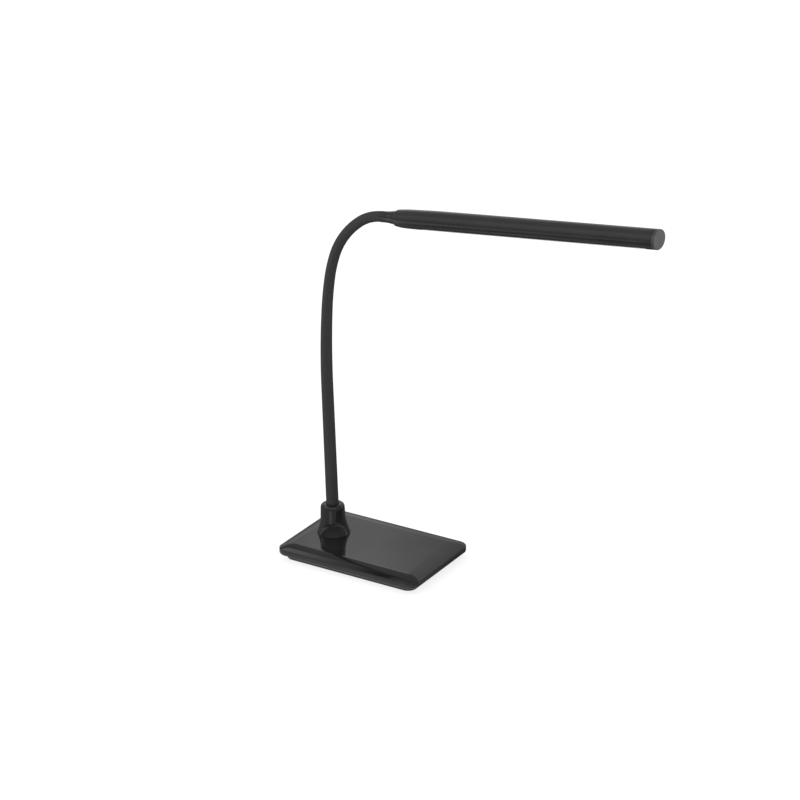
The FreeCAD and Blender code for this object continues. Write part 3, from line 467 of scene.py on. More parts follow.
class Finishes:
    """Every finish of the lamp, made once from the settings."""

    def __init__(self):
        self.settings = bpy.context.scene.lamp_finish
        self.grain = moulded_grain()
        self.dust = dust_film()
        self.wipes = hairlines()
        self.rolled = brushed_lines()
        self.made = {}

    def start(self, name):
        """A new material, as its node tree, its shader's inputs and the object's coordinates."""
        material = bpy.data.materials.new(name)
        material.use_nodes = True
        self.made[name] = material
        tree = material.node_tree
        coords = add(tree, "ShaderNodeTexCoord").outputs["Object"]
        return tree, tree.nodes["Principled BSDF"].inputs, coords

    def group(self, tree, group, inputs):
        return add(tree, "ShaderNodeGroup", inputs, node_tree=group).outputs

    def bump(self, tree, height, distance):
        return add(tree, "ShaderNodeBump", {"Height": height, "Strength": 1.0,
                                            "Distance": distance}).outputs["Normal"]

    def moulding(self, name, base, roughness, grain_scale, grain_depth, dust, change=0.06, wipes=0.0):
        """A dark plastic or rubber moulding with grain, dust and wipe marks."""
        tree, shader, coords = self.start(name)
        film = self.group(tree, self.dust, {"Vector": coords, "Colour": (*base, 1.0), "Amount": dust,
                                            "Dust colour": (*self.settings.dust, 1.0)})
        grain = self.group(tree, self.grain, {"Vector": coords, "Scale": grain_scale,
                                              "Roughness": roughness, "Roughness change": change})
        rough = maths(tree, "ADD", grain["Roughness"], maths(tree, "MULTIPLY", film["Mask"], 0.5))
        if wipes:
            lines = self.group(tree, self.wipes, {"Vector": coords})
            rough = maths(tree, "ADD", rough, maths(tree, "MULTIPLY", lines["Mask"], wipes))
        fill(tree, shader, {"Base Color": film["Colour"], "Roughness": rough, "IOR": 1.5,
                            "Normal": self.bump(tree, grain["Height"], grain_depth)})

    def metal(self, name, light, dark, scale):
        tree, shader, coords = self.start(name)
        lines = self.group(tree, self.rolled, {"Vector": coords, "Scale": scale, "Light": (*light, 1.0),
                                               "Dark": (*dark, 1.0)})
        fill(tree, shader, {"Base Color": lines["Colour"], "Roughness": lines["Roughness"],
                            "Metallic": 1.0, "Normal": self.bump(tree, lines["Height"], 0.02 * MM)})

    def wound(self, name, light, dark, pitch):
        """A metal hose wound from wire, with turns across the neck."""
        tree, shader, coords = self.start(name)
        turns = add(tree, "ShaderNodeTexWave", {"Vector": coords, "Scale": 1.0 / (pitch * 20.0)},
                    wave_type="BANDS", bands_direction="Z", wave_profile="SIN").outputs["Fac"]
        fill(tree, shader, {"Base Color": blend_colours(tree, turns, (*dark, 1.0), (*light, 1.0)),
                            "Roughness": remap(tree, turns, 0.0, 1.0, 0.5, 0.3),
                            "Metallic": 1.0, "Normal": self.bump(tree, turns, 0.3 * MM)})

    def opal(self, name, base):
        tree, shader, coords = self.start(name)
        shade = tuple(0.96 * c for c in base)
        grain = self.group(tree, self.grain, {"Vector": coords, "Scale": 2400.0, "Roughness": 0.42,
                                              "Roughness change": 0.05})
        cloud = blend_colours(tree, noise(tree, coords, 120.0, 3.0), (*shade, 1.0), (*base, 1.0))
        fill(tree, shader, {"Base Color": cloud, "Roughness": grain["Roughness"],
                            "Normal": self.bump(tree, grain["Height"], 0.004 * MM)})

    def make_all(self):
        s = self.settings
        dust = s.dust_amount
        self.moulding("gloss shell", s.shell, 0.07, 320.0, 0.0006 * MM, dust, change=0.015, wipes=0.05)
        self.moulding("gloss collar", s.shell, 0.07, 320.0, 0.0006 * MM, dust, change=0.015)
        self.moulding("neck sleeve", s.sleeve, 0.58, 2600.0, 0.012 * MM, 0.05)
        self.moulding("head moulding", s.head, 0.26, 2400.0, 0.004 * MM, dust, change=0.04)
        self.moulding("cap moulding", s.cap, 0.22, 2400.0, 0.004 * MM, dust, change=0.04)
        self.moulding("tray moulding", s.tray, 0.42, 1500.0, 0.02 * MM, 0.15)
        self.moulding("gland rubber", RUBBER, 0.6, 1900.0, 0.02 * MM, dust)
        for name, base, roughness, grain_scale, grain_depth, film in PLAIN_MOULDINGS:
            self.moulding(name, base, roughness, grain_scale, grain_depth * MM, film)
        for name, light, dark, scale in ROLLED_METALS:
            self.metal(name, light, dark, scale)
        self.wound("wound steel", (0.56, 0.56, 0.57), (0.16, 0.16, 0.17), 1.6 * MM)
        self.opal("opal diffuser", s.opal)


# Inner solids that keep their own shape, and the finish that each is given
SOLID_FINISHES = {
    "non_slip_pad": "pad rubber", "base_tray": "tray moulding", "ballast_tape": "tape foam",
    "ballast_plate": "ballast steel", "dimmer_board": "board laminate", "board_chips": "chip moulding",
    "inlet_terminal": "terminal moulding", "board_screws": "zinc plate", "touch_pillar": "turned brass",
    "neck_stud": "turned brass", "stud_washer": "zinc plate", "stud_nut": "zinc plate",
    "lead_tail": "lead jacket", "diode_carrier": "mill aluminium", "carrier_screws": "zinc plate",
    "diode_strip": "strip mask",
}


# Geometry node trees

def sleeve_tree():
    """Sweeps a round section along a line of points, with an even taper."""
    tree, given, result = geometry_tree(
        "Sleeve sweep",
        [("Path", "Geometry", None), ("Start radius", "Float", 0.005), ("End radius", "Float", 0.005),
         ("Segments", "Int", 48)])
    path = add(tree, "GeometryNodeMeshToCurve", {"Mesh": given["Path"]})
    along_path = add(tree, "GeometryNodeSplineParameter").outputs["Factor"]
    radius = remap(tree, along_path, 0.0, 1.0, given["Start radius"], given["End radius"])
    section = add(tree, "GeometryNodeCurvePrimitiveCircle", {"Resolution": given["Segments"],
                                                             "Radius": 1.0})
    tube = add(tree, "GeometryNodeCurveToMesh", {"Curve": path.outputs["Curve"], "Scale": radius,
                                                 "Profile Curve": section.outputs["Curve"]})
    return put_out(tree, tube.outputs["Mesh"], given, result)


def row_tree():
    """Repeats one shape in a straight row."""
    tree, given, result = geometry_tree(
        "Row of pieces",
        [("Shape", "Geometry", None), ("Count", "Int", 2), ("Start", "Vector", None),
         ("Step", "Vector", None), ("Turn", "Rotation", None)])
    row = add(tree, "GeometryNodeMeshLine", {"Count": given["Count"], "Start Location": given["Start"],
                                             "Offset": given["Step"]})
    spread = add(tree, "GeometryNodeInstanceOnPoints", {
        "Points": row.outputs["Mesh"], "Instance": given["Shape"], "Rotation": given["Turn"]})
    return put_out(tree, spread.outputs["Instances"], given, result)


def corners_tree():
    """Repeats one shape at the four corners of a rectangle."""
    tree, given, result = geometry_tree(
        "Corner pieces",
        [("Shape", "Geometry", None), ("Length", "Float", 0.1), ("Width", "Float", 0.05),
         ("Height", "Float", 0.0)])
    grid = add(tree, "GeometryNodeMeshGrid", {"Size X": given["Length"], "Size Y": given["Width"],
                                              "Vertices X": 2, "Vertices Y": 2})
    lift = add(tree, "ShaderNodeCombineXYZ", {"Z": given["Height"]}).outputs["Vector"]
    placed = add(tree, "GeometryNodeTransform", {"Geometry": grid.outputs["Mesh"], "Translation": lift})
    spread = add(tree, "GeometryNodeInstanceOnPoints", {
        "Points": placed.outputs["Geometry"], "Instance": given["Shape"]})
    return put_out(tree, spread.outputs["Instances"], given, result)


def run_tree(obj, tree, **values):
    """Run a node tree on an object, with inputs set by name, and keep the result as a plain mesh."""
    modifier = obj.modifiers.new(tree.name, "NODES")
    modifier.node_group = tree
    sockets = {item.name: item.identifier for item in tree.interface.items_tree
               if item.item_type == "SOCKET" and item.in_out == "INPUT"}
    for name, value in values.items():
        modifier[sockets[name.replace("_", " ")]] = value
    apply_modifiers(obj)


# Base

def rounded_outline(length, width, corner, corner_steps=14):
    """Points round a rectangle with round corners, the same number for any size."""
    points = []
    for index, (sx, sy) in enumerate(((1, 1), (-1, 1), (-1, -1), (1, -1))):
        cx, cy = sx * (length / 2 - corner), sy * (width / 2 - corner)
        points += arc((cx, cy), corner, 90 * index, 90 * (index + 1), corner_steps)
    return points


def shell_profile(s):
    """Inset and height of each ring of the shell, from the lip over the crown to the flat top."""
    lip_top = SHELL_LOW.z + 2 * s.lip_round
    rings = [(x, lip_top + 2 * (z - lip_top))
             for x, z in arc((s.lip_round, lip_top), s.lip_round, 270, 180, 5)]
    radius = (s.crown_inset ** 2 + s.crown_drop ** 2) / (2 * s.crown_drop)
    centre = (s.crown_inset, SHELL_TOP - radius)
    start = math.degrees(math.atan2(SHELL_TOP - s.crown_drop - centre[1], -centre[0]))
    crown = arc(centre, radius, start, 90, 22)
    corner_point = Vector(crown[0])
    tangent = (Vector(crown[1]) - corner_point).normalized()
    reach = s.edge_round * 0.55
    before, after = corner_point - Vector((0, reach)), corner_point + tangent * reach
    for i in range(6):
        t = i / 5
        point = before * (1 - t) ** 2 + corner_point * 2 * t * (1 - t) + after * t ** 2
        rings.append((point.x, point.y))
    rings += [point for point in crown[1:] if point[0] > after.x]
    rings.append((s.crown_inset + 0.4 * MM, SHELL_TOP))
    return rings


def make_shell(s):
    """The gloss shell of the base, with its wall and the hole under the collar."""
    middle = (SHELL_LOW + SHELL_HIGH) / 2

    def outline(inset, height, corner):
        flat = rounded_outline(s.length - 2 * inset, s.width - 2 * inset, corner)
        return [Vector((middle.x + x, middle.y + y, height)) for x, y in flat]

    rings = [outline(inset, height, s.corner - 0.6 * inset) for inset, height in shell_profile(s)]
    ways = [Vector((point.x - STUD_X, point.y, 0)).normalized() for point in rings[-1]]
    ceiling, inner_corner = SHELL_TOP - s.wall, s.corner - s.wall
    for height in (SHELL_TOP, ceiling):
        rings.append([Vector((STUD_X, 0, height)) + way * s.stud_hole for way in ways])
    rings.append(outline(s.crown_inset + s.wall, ceiling, inner_corner / 2))
    rings.append(outline(s.wall, ceiling - s.crown_drop, inner_corner))
    rings.append(outline(s.wall, SHELL_LOW.z, inner_corner))
    return skin("base_shell", rings, FINISH["gloss shell"], loop=True, sharp=50)


class DESKLAMP_OT_base_shell(bpy.types.Operator):
    """Build the crowned gloss shell of the base"""
    bl_idname = "desk_lamp.base_shell"
    bl_label = "Base shell"

    def execute(self, context):
        shell = make_shell(context.scene.lamp_base)
        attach(shell, "base")
        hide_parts("base_cover")
        return {"FINISHED"}


def screw_rings(radius, height, shank_radius, shank_length):
    """Profile of a pan head screw standing on its head, as (radius, height) pairs."""
    dome = arc((radius - 0.5 * MM, 0.5 * MM), 0.5 * MM, 270, 360, 5)
    return dome + [(radius, height), (shank_radius, height), (shank_radius, height + shank_length - 0.6 * MM),
                   (shank_radius - 0.5 * MM, height + shank_length)]


def lathe(name, profile, material, place=Vector((0, 0, 0)), upright=True, segments=48, loop=False):
    """Turn a profile of (radius, height) pairs round Z, or round Y where it isn't upright."""
    depth, axis = Vector((0, 1, 0)), Vector((0, 0, 1))
    if not upright:
        depth, axis = axis, depth
    rings = [round_ring(place + axis * height, Vector((1, 0, 0)), depth, radius, segments)
             for radius, height in profile]
    return skin(name, rings, material, loop=loop, caps=not loop)


def cross_recess(obj, reach, width, depth):
    """Cut a cross recess into the underside of a screw head."""
    cutters = []
    for size_x, size_y in ((reach, width), (width, reach)):
        work = bmesh.new()
        bmesh.ops.create_cube(work, size=1.0)
        for vert in work.verts:
            taper = 0.72 if vert.co.z > 0 else 1.0
            vert.co *= Vector((size_x * taper, size_y * taper, 2 * depth))
        mesh = bpy.data.meshes.new("recess_cutter")
        work.to_mesh(mesh)
        work.free()
        cutters.append(new_object("recess_cutter", mesh))
        modifier = obj.modifiers.new("recess", "BOOLEAN")
        modifier.object = cutters[-1]
        modifier.operation = "DIFFERENCE"
        modifier.solver = "EXACT"
    apply_modifiers(obj)
    for cutter in cutters:
        bpy.data.meshes.remove(cutter.data)


class DESKLAMP_OT_tray_screws(bpy.types.Operator):
    """Build the four screws that hold the tray to the shell"""
    bl_idname = "desk_lamp.tray_screws"
    bl_label = "Tray screws"

    def execute(self, context):
        head_radius, head_height, shank_radius = 2.5 * MM, 2.0 * MM, 1.25 * MM
        shank = SCREWS_HIGH.z - SCREWS_LOW.z - head_height
        screw = lathe("tray_screw_set", screw_rings(head_radius, head_height, shank_radius, shank),
                      FINISH["zinc plate"], segments=32)
        cross_recess(screw, 2.8 * MM, 0.7 * MM, 0.9 * MM)
        run_tree(screw, corners_tree(), Length=SCREWS_HIGH.x - SCREWS_LOW.x - 2 * head_radius,
                 Width=SCREWS_HIGH.y - SCREWS_LOW.y - 2 * head_radius, Height=SCREWS_LOW.z,
                 Finish=FINISH["zinc plate"])
        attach(screw, "base")
        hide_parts("tray_screws")
        return {"FINISHED"}


class DESKLAMP_OT_cord_gland(bpy.types.Operator):
    """Build the rubber gland for the lead at the back of the base"""
    bl_idname = "desk_lamp.cord_gland"
    bl_label = "Cord gland"

    def execute(self, context):
        radius = (GLAND_HIGH.x - GLAND_LOW.x) / 2
        bore, edge = 1.7 * MM, 0.5 * MM
        start, end = GLAND_LOW.y, GLAND_HIGH.y
        outside = [(radius - edge, start), (radius, start + edge)]
        outside += arc((radius - edge, end - edge), edge, 0, 90, 5)
        inside = [(bore + 0.35 * MM, end), (bore, end - 0.35 * MM), (bore, start)]
        place = Vector(((GLAND_LOW.x + GLAND_HIGH.x) / 2, 0, (GLAND_LOW.z + GLAND_HIGH.z) / 2))
        gland = lathe("cord_gland_rubber", outside + inside, FINISH["gland rubber"], place, upright=False,
                      segments=40, loop=True)
        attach(gland, "base")
        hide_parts("cord_gland")
        return {"FINISHED"}


# Collar and neck

def along(lean):
    """Direction of the neck at a lean from the vertical towards +X."""
    return Vector((math.sin(lean), 0, math.cos(lean)))


def across(lean):
    return Vector((math.cos(lean), 0, -math.sin(lean)))


def collar_profile(s):
    """Radius and height pairs of the collar's outside, from the foot's edge to the bore."""
    top, edge, small, rim = s.height, s.foot_edge, 0.2 * MM, 0.35 * MM
    points = [(s.foot_radius, edge - small)]
    points += arc((s.foot_radius - small, edge - small), small, 0, 90, 3)[1:]
    slope = (s.low_radius - s.top_radius) / s.height
    meet = s.low_radius - slope * s.flare_height
    flare_end = s.flare_height + 3 * MM
    for i in range(13):
        t = i / 12
        height = mix(edge, flare_end, t)
        radius = meet - slope * (height - s.flare_height) + (s.flare_radius - meet) * (1 - t) ** 1.7
        points.append((radius, height))
    for i in range(1, 7):
        height = mix(flare_end, top - s.shoulder, i / 6)
        points.append((s.low_radius - slope * height, height))
    centre = (s.top_radius - s.shoulder + slope * s.shoulder, top - s.shoulder)
    points += arc(centre, s.shoulder, math.degrees(math.atan(slope)), 90, 14)[1:]
    return points + [(s.bore + rim, top)] + arc((s.bore + rim, top - rim), rim, 90, 180, 4)[1:]


def make_collar(s):
    foot = Vector((STUD_X, 0, SHELL_TOP))
    lean = -s.lean
    axis, side, depth = along(lean), across(lean), Vector((0, 1, 0))
    stud_radius, stud_depth, seat, lead = 5.0 * MM, 6.5 * MM, 7.5 * MM, 2.5 * MM
    segments = 96
    inner = [(s.bore, seat), (lead, seat), (lead, stud_depth), (stud_radius, stud_depth)]
    rings = [round_ring(foot + axis * height, side, depth, radius, segments)
             for radius, height in collar_profile(s) + inner]
    for radius in (stud_radius, s.foot_radius):
        ring = round_ring(foot, side, depth, radius, segments)
        rings.append([point - axis * ((point.z - SHELL_TOP) / axis.z) for point in ring])
    return skin("neck_collar_moulding", rings, FINISH["gloss collar"], loop=True, sharp=35)


class DESKLAMP_OT_collar(bpy.types.Operator):
    """Build the flared collar at the foot of the neck"""
    bl_idname = "desk_lamp.collar"
    bl_label = "Neck collar"

    def execute(self, context):
        collar = make_collar(context.scene.lamp_collar)
        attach(collar, "base")
        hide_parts("neck_collar")
        return {"FINISHED"}


# How far above the shell the sleeve starts, and the longest reach along a stretch to either side of a joint
SLEEVE_SEAT, BEND_REACH = 7.6 * MM, 18 * MM

# Share of the sleeve's taper at the middle of each stretch, from the collar to the head
SLEEVE_TAPER = (0.0, 0.05, 0.15, 0.22, 0.33, 0.55, 0.82, 0.97, 1.0, 1.0, 1.0)


class Stretch:
    """A stretch of the neck's centreline with an even bend."""

    def __init__(self, start, lean, run, turn):
        self.start, self.lean, self.run, self.turn = start, lean, run, turn

    def point(self, distance):
        if abs(self.turn) < TINY:
            return self.start + along(self.lean) * distance
        radius = self.run / self.turn
        part = distance / radius
        return (self.start + across(self.lean) * radius * (1 - math.cos(part))
                + along(self.lean) * radius * math.sin(part))

    def end_lean(self):
        return self.lean + self.turn


def neck_stretches():
    """The neck from the collar to inside the head, one stretch between each two bending points."""
    collar, neck = bpy.context.scene.lamp_collar, bpy.context.scene.lamp_neck
    joints = sorted(frame["joints"], key=lambda j: bend_order(j["parent"]))
    pivots = [Vector(j["pos_m"]) for j in joints]
    lean = -collar.lean
    foot = Vector((STUD_X, 0, SHELL_TOP)) + along(lean) * SLEEVE_SEAT
    stretches = [Stretch(foot, lean, (pivots[0] - foot).length, 0.0)]
    for start, end in zip(pivots, pivots[1:]):
        chord = end - start
        heading = math.atan2(chord.x, chord.z)
        turn = 2 * (heading - lean)
        if abs(turn) < math.radians(0.01):
            turn = 0.0
        run = chord.length if turn == 0.0 else chord.length * (turn / 2) / math.sin(turn / 2)
        stretches.append(Stretch(start, lean, run, turn))
        lean += turn
    stretches.append(Stretch(pivots[-1], lean, neck.last_length, neck.last_turn))
    return stretches


def bend_order(parent):
    return 0 if parent == "base" else int(parent.split("_")[1])


def sleeve_points(first, second, is_foot, is_head, s):
    """Points of the centreline from the middle of one stretch to the middle of the next."""
    begin = 0.0 if is_foot else first.run / 2
    steps = max(2, round((first.run - begin) / s.ring_step))
    points = [first.point(mix(begin, first.run, i / steps)) for i in range(steps)]
    end = second.run if is_head else second.run / 2
    steps = max(2, round(end / s.ring_step))
    points += [second.point(end * i / steps) for i in range(steps + 1)]
    if is_head:
        steps = round(s.head_seat / s.ring_step)
        ahead = along(second.end_lean())
        points += [points[-1] + ahead * s.head_seat * i / steps for i in range(1, steps + 1)]
    return points


class DESKLAMP_OT_neck_sleeve(bpy.types.Operator):
    """Build the matt sleeve of the gooseneck, one piece over each joint"""
    bl_idname = "desk_lamp.neck_sleeve"
    bl_label = "Neck sleeve"

    def execute(self, context):
        s = context.scene.lamp_neck
        stretches = neck_stretches()
        tree = sleeve_tree()
        count = len(stretches) - 1
        for index in range(1, count + 1):
            first, second = stretches[index - 1], stretches[index]
            points = sleeve_points(first, second, index == 1, index == count, s)
            mesh = bpy.data.meshes.new("sleeve_path")
            mesh.from_pydata(points, [(i, i + 1) for i in range(len(points) - 1)], [])
            sleeve = new_object("neck_sleeve_{:02d}".format(index), mesh)
            ends = [mix(s.low_radius, s.high_radius, SLEEVE_TAPER[i]) for i in (index - 1, index)]
            run_tree(sleeve, tree, Start_radius=ends[0], End_radius=ends[1], Segments=s.segments,
                     Finish=FINISH["neck sleeve"])
            outward(sleeve.data)
            add_wall(sleeve, s.wall)
            apply_modifiers(sleeve)
            before = first.point(first.run - s.bend_share * min(first.run / 2, BEND_REACH))
            after = second.point(s.bend_share * min(second.run / 2, BEND_REACH))
            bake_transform(sleeve)
            nodes = ["sleeve_{:02d}".format(index)] + (["sleeve_00"] if index == 1 else [])
            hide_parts(*nodes)
        return {"FINISHED"}


# Head

class HeadSpace:
    """Turns points of the head's own frame, X along the head, into places in the scene."""

    def __init__(self):
        last = neck_stretches()[-1]
        self.origin, self.lean = last.point(last.run), last.end_lean()
        self.ahead, self.up = along(self.lean), -across(self.lean)

    def at(self, x, y, z):
        return self.origin + self.ahead * x + Vector((0, y, 0)) + self.up * z

    def oval(self, x, top, bottom, half_width, angles):
        """A ring across the head, from angles that start at the underside."""
        middle, half = (top - bottom) / 2, (top + bottom) / 2
        return [self.at(x, half_width * math.sin(a), middle - half * math.cos(a)) for a in angles]


# Places along the head and half sizes of its section there, in mm
MOUTH, FERRULE_END, FULL_SECTION = 16.4, 16.3, 62.0
HEAD_TOP = ((MOUTH, 7.0), (21.0, 7.4), (27.0, 7.75), (FULL_SECTION, 8.3))
HEAD_BOTTOM = ((MOUTH, 7.0), (21.0, 7.75), (27.0, 8.15), (FULL_SECTION, 8.3))
HEAD_HALF_WIDTH = ((MOUTH, 8.8), (21.0, 9.6), (27.0, 10.2), (FULL_SECTION, 11.0))
FERRULE_HALF_HEIGHT = ((0.0, 4.9), (7.0, 4.95), (FERRULE_END, 5.8))
FERRULE_HALF_WIDTH = ((0.0, 4.9), (7.0, 5.4), (FERRULE_END, 7.6))


def window_angles(s):
    """Angles round the head that meet both edges of the light window exactly."""
    edge = math.asin(s.window_half / s.half_width)
    inside, outside = 12, 68
    angles = [mix(-edge, edge, i / inside) for i in range(inside)]
    return angles + [mix(edge, 2 * math.pi - edge, i / outside) for i in range(outside)], inside


def head_section(x, inset=0.0):
    x = x / MM
    return tuple(ease(curve, x) * MM - inset for curve in (HEAD_TOP, HEAD_BOTTOM, HEAD_HALF_WIDTH))


def along_head(start, end, step):
    count = max(1, math.ceil((end - start) / step))
    return [mix(start, end, i / count) for i in range(count + 1)]


def open_shell(space, name, rings, material, wall, skipped):
    """A surface over rings of the head, with some faces left out and a wall turned inwards."""
    points, faces = quads(rings, skipped=skipped)
    mesh = bpy.data.meshes.new(name)
    mesh.from_pydata(points, [], faces)
    face_out(mesh, space)
    mesh.materials.append(material)
    shell = new_object(name, mesh)
    add_wall(shell, wall)
    return shell


def face_out(mesh, space):
    """Drop points without faces, and turn the faces of an open surface away from the head's axis."""
    work = bmesh.new()
    work.from_mesh(mesh)
    bmesh.ops.delete(work, geom=[v for v in work.verts if not v.link_faces], context="VERTS")
    work.faces.ensure_lookup_table()
    face = work.faces[len(work.faces) // 2]
    middle = face.calc_center_median()
    foot = space.origin + space.ahead * (middle - space.origin).dot(space.ahead)
    if face.normal.dot(middle - foot) < 0:
        bmesh.ops.reverse_faces(work, faces=work.faces)
    work.to_mesh(mesh)
    work.free()


def make_housing(space, s):
    """The shell of the head with its window, and a wall turned inwards."""
    end = s.length - s.cap_thickness
    stations = along_head(MOUTH * MM, s.window_start, 1.5 * MM)
    stations += along_head(s.window_start, FULL_SECTION * MM, 2 * MM)[1:]
    stations += along_head(FULL_SECTION * MM, s.window_end, 6 * MM)[1:] + [end]
    angles, inside = window_angles(s)
    rings = [space.oval(x, *head_section(x), angles) for x in stations]

    def in_window(a, i):
        return i < inside and s.window_start - TINY <= stations[a] and stations[a + 1] <= s.window_end + TINY

    housing = open_shell(space, "head_housing_moulding", rings, FINISH["head moulding"], s.wall, in_window)
    edge = housing.modifiers.new("edge", "BEVEL")
    edge.width = 0.25 * MM
    edge.segments = 3
    edge.limit_method = "ANGLE"
    edge.angle_limit = math.radians(50)
    return apply_modifiers(housing, 40)


def make_diffuser(space, s):
    """The milky strip in the window, flush with the housing."""
    edge = math.asin((s.window_half - s.seam) / s.half_width)
    count = 14
    angles = [mix(-edge, edge, i / count) for i in range(count + 1)]
    stations = along_head(s.window_start + s.seam, s.window_end - s.seam, 4 * MM)
    rings = [space.oval(x, *head_section(x, 0.05 * MM), angles) for x in stations]
    strip = open_shell(space, "light_diffuser", rings, FINISH["opal diffuser"], s.wall,
                       lambda a, i: i == count)
    return apply_modifiers(strip, 40)


def make_cap(space, s):
    """The flat end cap with a softened rim, and its plug inside the housing."""
    start, end = s.length - s.cap_thickness, s.length
    rim, plug, inset = 0.45 * MM, 5.0 * MM, s.wall + 0.1 * MM
    hollow = s.wall + 1.5 * MM
    profile = [(start, hollow), (start - plug, hollow), (start - plug, inset), (start, inset), (start, 0.0)]
    profile += [(end - rim + x, rim - y) for y, x in arc((0, 0), rim, 0, 90, 6)]
    profile += [(end, 1.2 * MM), (end, 3.0 * MM)]
    angles = full_circle(96)
    rings = [space.oval(x, s.half_height - y, s.half_height - y, s.half_width - y, angles)
             for x, y in profile]
    rings.append(space.oval(end, 0.02 * MM, 0.02 * MM, 2.4 * MM, angles))
    return skin("head_end_cap_moulding", rings, FINISH["cap moulding"], caps=True, sharp=40)


def make_ferrule(space, s):
    """The tapering piece between the neck's sleeve and the housing."""
    angles = full_circle(80)
    rings = []
    for x in along_head(0.0, FERRULE_END * MM, 0.8 * MM):
        height, width = (ease(curve, x / MM) * MM for curve in (FERRULE_HALF_HEIGHT, FERRULE_HALF_WIDTH))
        rings.append(space.oval(x, height, height, width, angles))
    spigot_end, core_end, seat_end = 25.4, 14.9, 11.6
    spigot, lead, core, seat = (5.2, 5.2, 7.2), (2.0,) * 3, (3.25,) * 3, (4.7,) * 3
    for x, sizes in ((FERRULE_END, spigot), (spigot_end, spigot), (spigot_end, lead), (core_end, lead),
                     (core_end, core), (seat_end, core), (seat_end, seat), (0.0, seat)):
        rings.append(space.oval(x * MM, *(size * MM for size in sizes), angles))
    return skin("head_ferrule_moulding", rings, FINISH["head moulding"], loop=True, sharp=40)


def make_diode():
    """One diode: a yellow block with softened edges, to be repeated along the strip."""
    work = bmesh.new()
    bmesh.ops.create_cube(work, size=1.0)
    for vert in work.verts:
        vert.co *= Vector((2.8, 3.5, 0.7)) * MM
    bmesh.ops.bevel(work, geom=work.edges[:], offset=0.15 * MM, segments=2, profile=0.5, affect="EDGES")
    mesh = bpy.data.meshes.new("light_diode_row")
    work.to_mesh(mesh)
    work.free()
    mesh.materials.append(FINISH["diode phosphor"])
    return new_object("light_diode_row", mesh)


class DESKLAMP_OT_head(bpy.types.Operator):
    """Build the housing, ferrule, end cap and diffuser of the lamp head"""
    bl_idname = "desk_lamp.head"
    bl_label = "Lamp head"

    def execute(self, context):
        s = context.scene.lamp_head
        space = HeadSpace()
        for piece, node, slot in ((make_housing(space, s), "head_housing", "head_plastic"),
                                  (make_ferrule(space, s), "head_ferrule", "head_plastic"),
                                  (make_cap(space, s), "head_end_cap", "cap_plastic"),
                                  (make_diffuser(space, s), "head_diffuser", "opal_diffuser")):
            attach(piece, "head")
            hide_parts(node)
        return {"FINISHED"}


class DESKLAMP_OT_diodes(bpy.types.Operator):
    """Repeat the light diodes along the strip behind the diffuser"""
    bl_idname = "desk_lamp.diodes"
    bl_label = "Light diodes"

    def execute(self, context):
        s = context.scene.lamp_head
        space = HeadSpace()
        start, end = 49.0 * MM, s.length - s.cap_thickness - 15.0 * MM
        pitch = (end - start) / s.diodes
        height = -3.35 * MM
        row = make_diode()
        run_tree(row, row_tree(), Count=s.diodes, Start=tuple(space.at(start + pitch / 2, 0, height)),
                 Step=tuple(space.ahead * pitch), Turn=(0.0, space.lean - math.radians(90), 0.0),
                 Finish=FINISH["diode phosphor"])
        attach(row, "head")
        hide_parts("light_diodes")
        return {"FINISHED"}


# Finishes and stage

class DESKLAMP_OT_finishes(bpy.types.Operator):
    """Make every finish and give the inner solids theirs"""
    bl_idname = "desk_lamp.finishes"
    bl_label = "Finishes"

    def execute(self, context):
        finishes = Finishes()
        finishes.make_all()
        FINISH.update(finishes.made)
        chosen = dict(SOLID_FINISHES)
        for node in frame["nodes"]:
            if node.startswith("core_"):
                chosen[node] = "wound steel"
            elif node.startswith("lead_"):
                chosen[node] = "lead jacket"
        for node, finish in chosen.items():
            mesh = frame["nodes"][node].data
            if not mesh.materials:
                mesh.materials.append(None)
            for index in range(len(mesh.materials)):
                mesh.materials[index] = FINISH[finish]
        return {"FINISHED"}


# Height in metres and strength of the card behind the lamp
BACK_CARD_STEPS = ((0.0, 0.40), (0.07, 0.55), (0.20, 0.98), (0.27, 1.18), (0.335, 0.86), (0.40, 1.0),
                   (0.46, 1.2), (0.58, 1.45))

# Direction on the floor, from the neck, of the pale wedge that the collar reflects
WEDGE_WAY = (0.195, -0.981)


def within(tree, value, outer, inner):
    """One inside the inner distance from zero, none outside the outer one."""
    return remap(tree, maths(tree, "ABSOLUTE", value), inner, outer, 1.0, 0.0)


def lerp(tree, low, high, t):
    """A number between two others, which may be sockets."""
    return maths(tree, "MULTIPLY_ADD", t, maths(tree, "SUBTRACT", high, low), low)


def parts_of(tree, space):
    """X, Y and Z of a place or a direction, as the outputs of a node."""
    coords = add(tree, "ShaderNodeTexCoord").outputs[space]
    return add(tree, "ShaderNodeSeparateXYZ", {"Vector": coords}).outputs


def stage_material(name):
    """A material without its usual shader, with its tree and the kinds of ray that may see it."""
    material = bpy.data.materials.new(name)
    material.use_nodes = True
    tree = material.node_tree
    tree.nodes.remove(tree.nodes["Principled BSDF"])
    return material, tree, add(tree, "ShaderNodeLightPath").outputs


def choose(tree, factor, first, second):
    return add(tree, "ShaderNodeMixShader", {0: factor, 1: first, 2: second}).outputs[0]


def stage_sheet(name, corners, material):
    """A flat sheet of the studio with four corners."""
    mesh = bpy.data.meshes.new(name)
    mesh.from_pydata([Vector(corner) for corner in corners], [], [(0, 1, 2, 3)])
    mesh.materials.append(material)
    new_object(name, mesh)


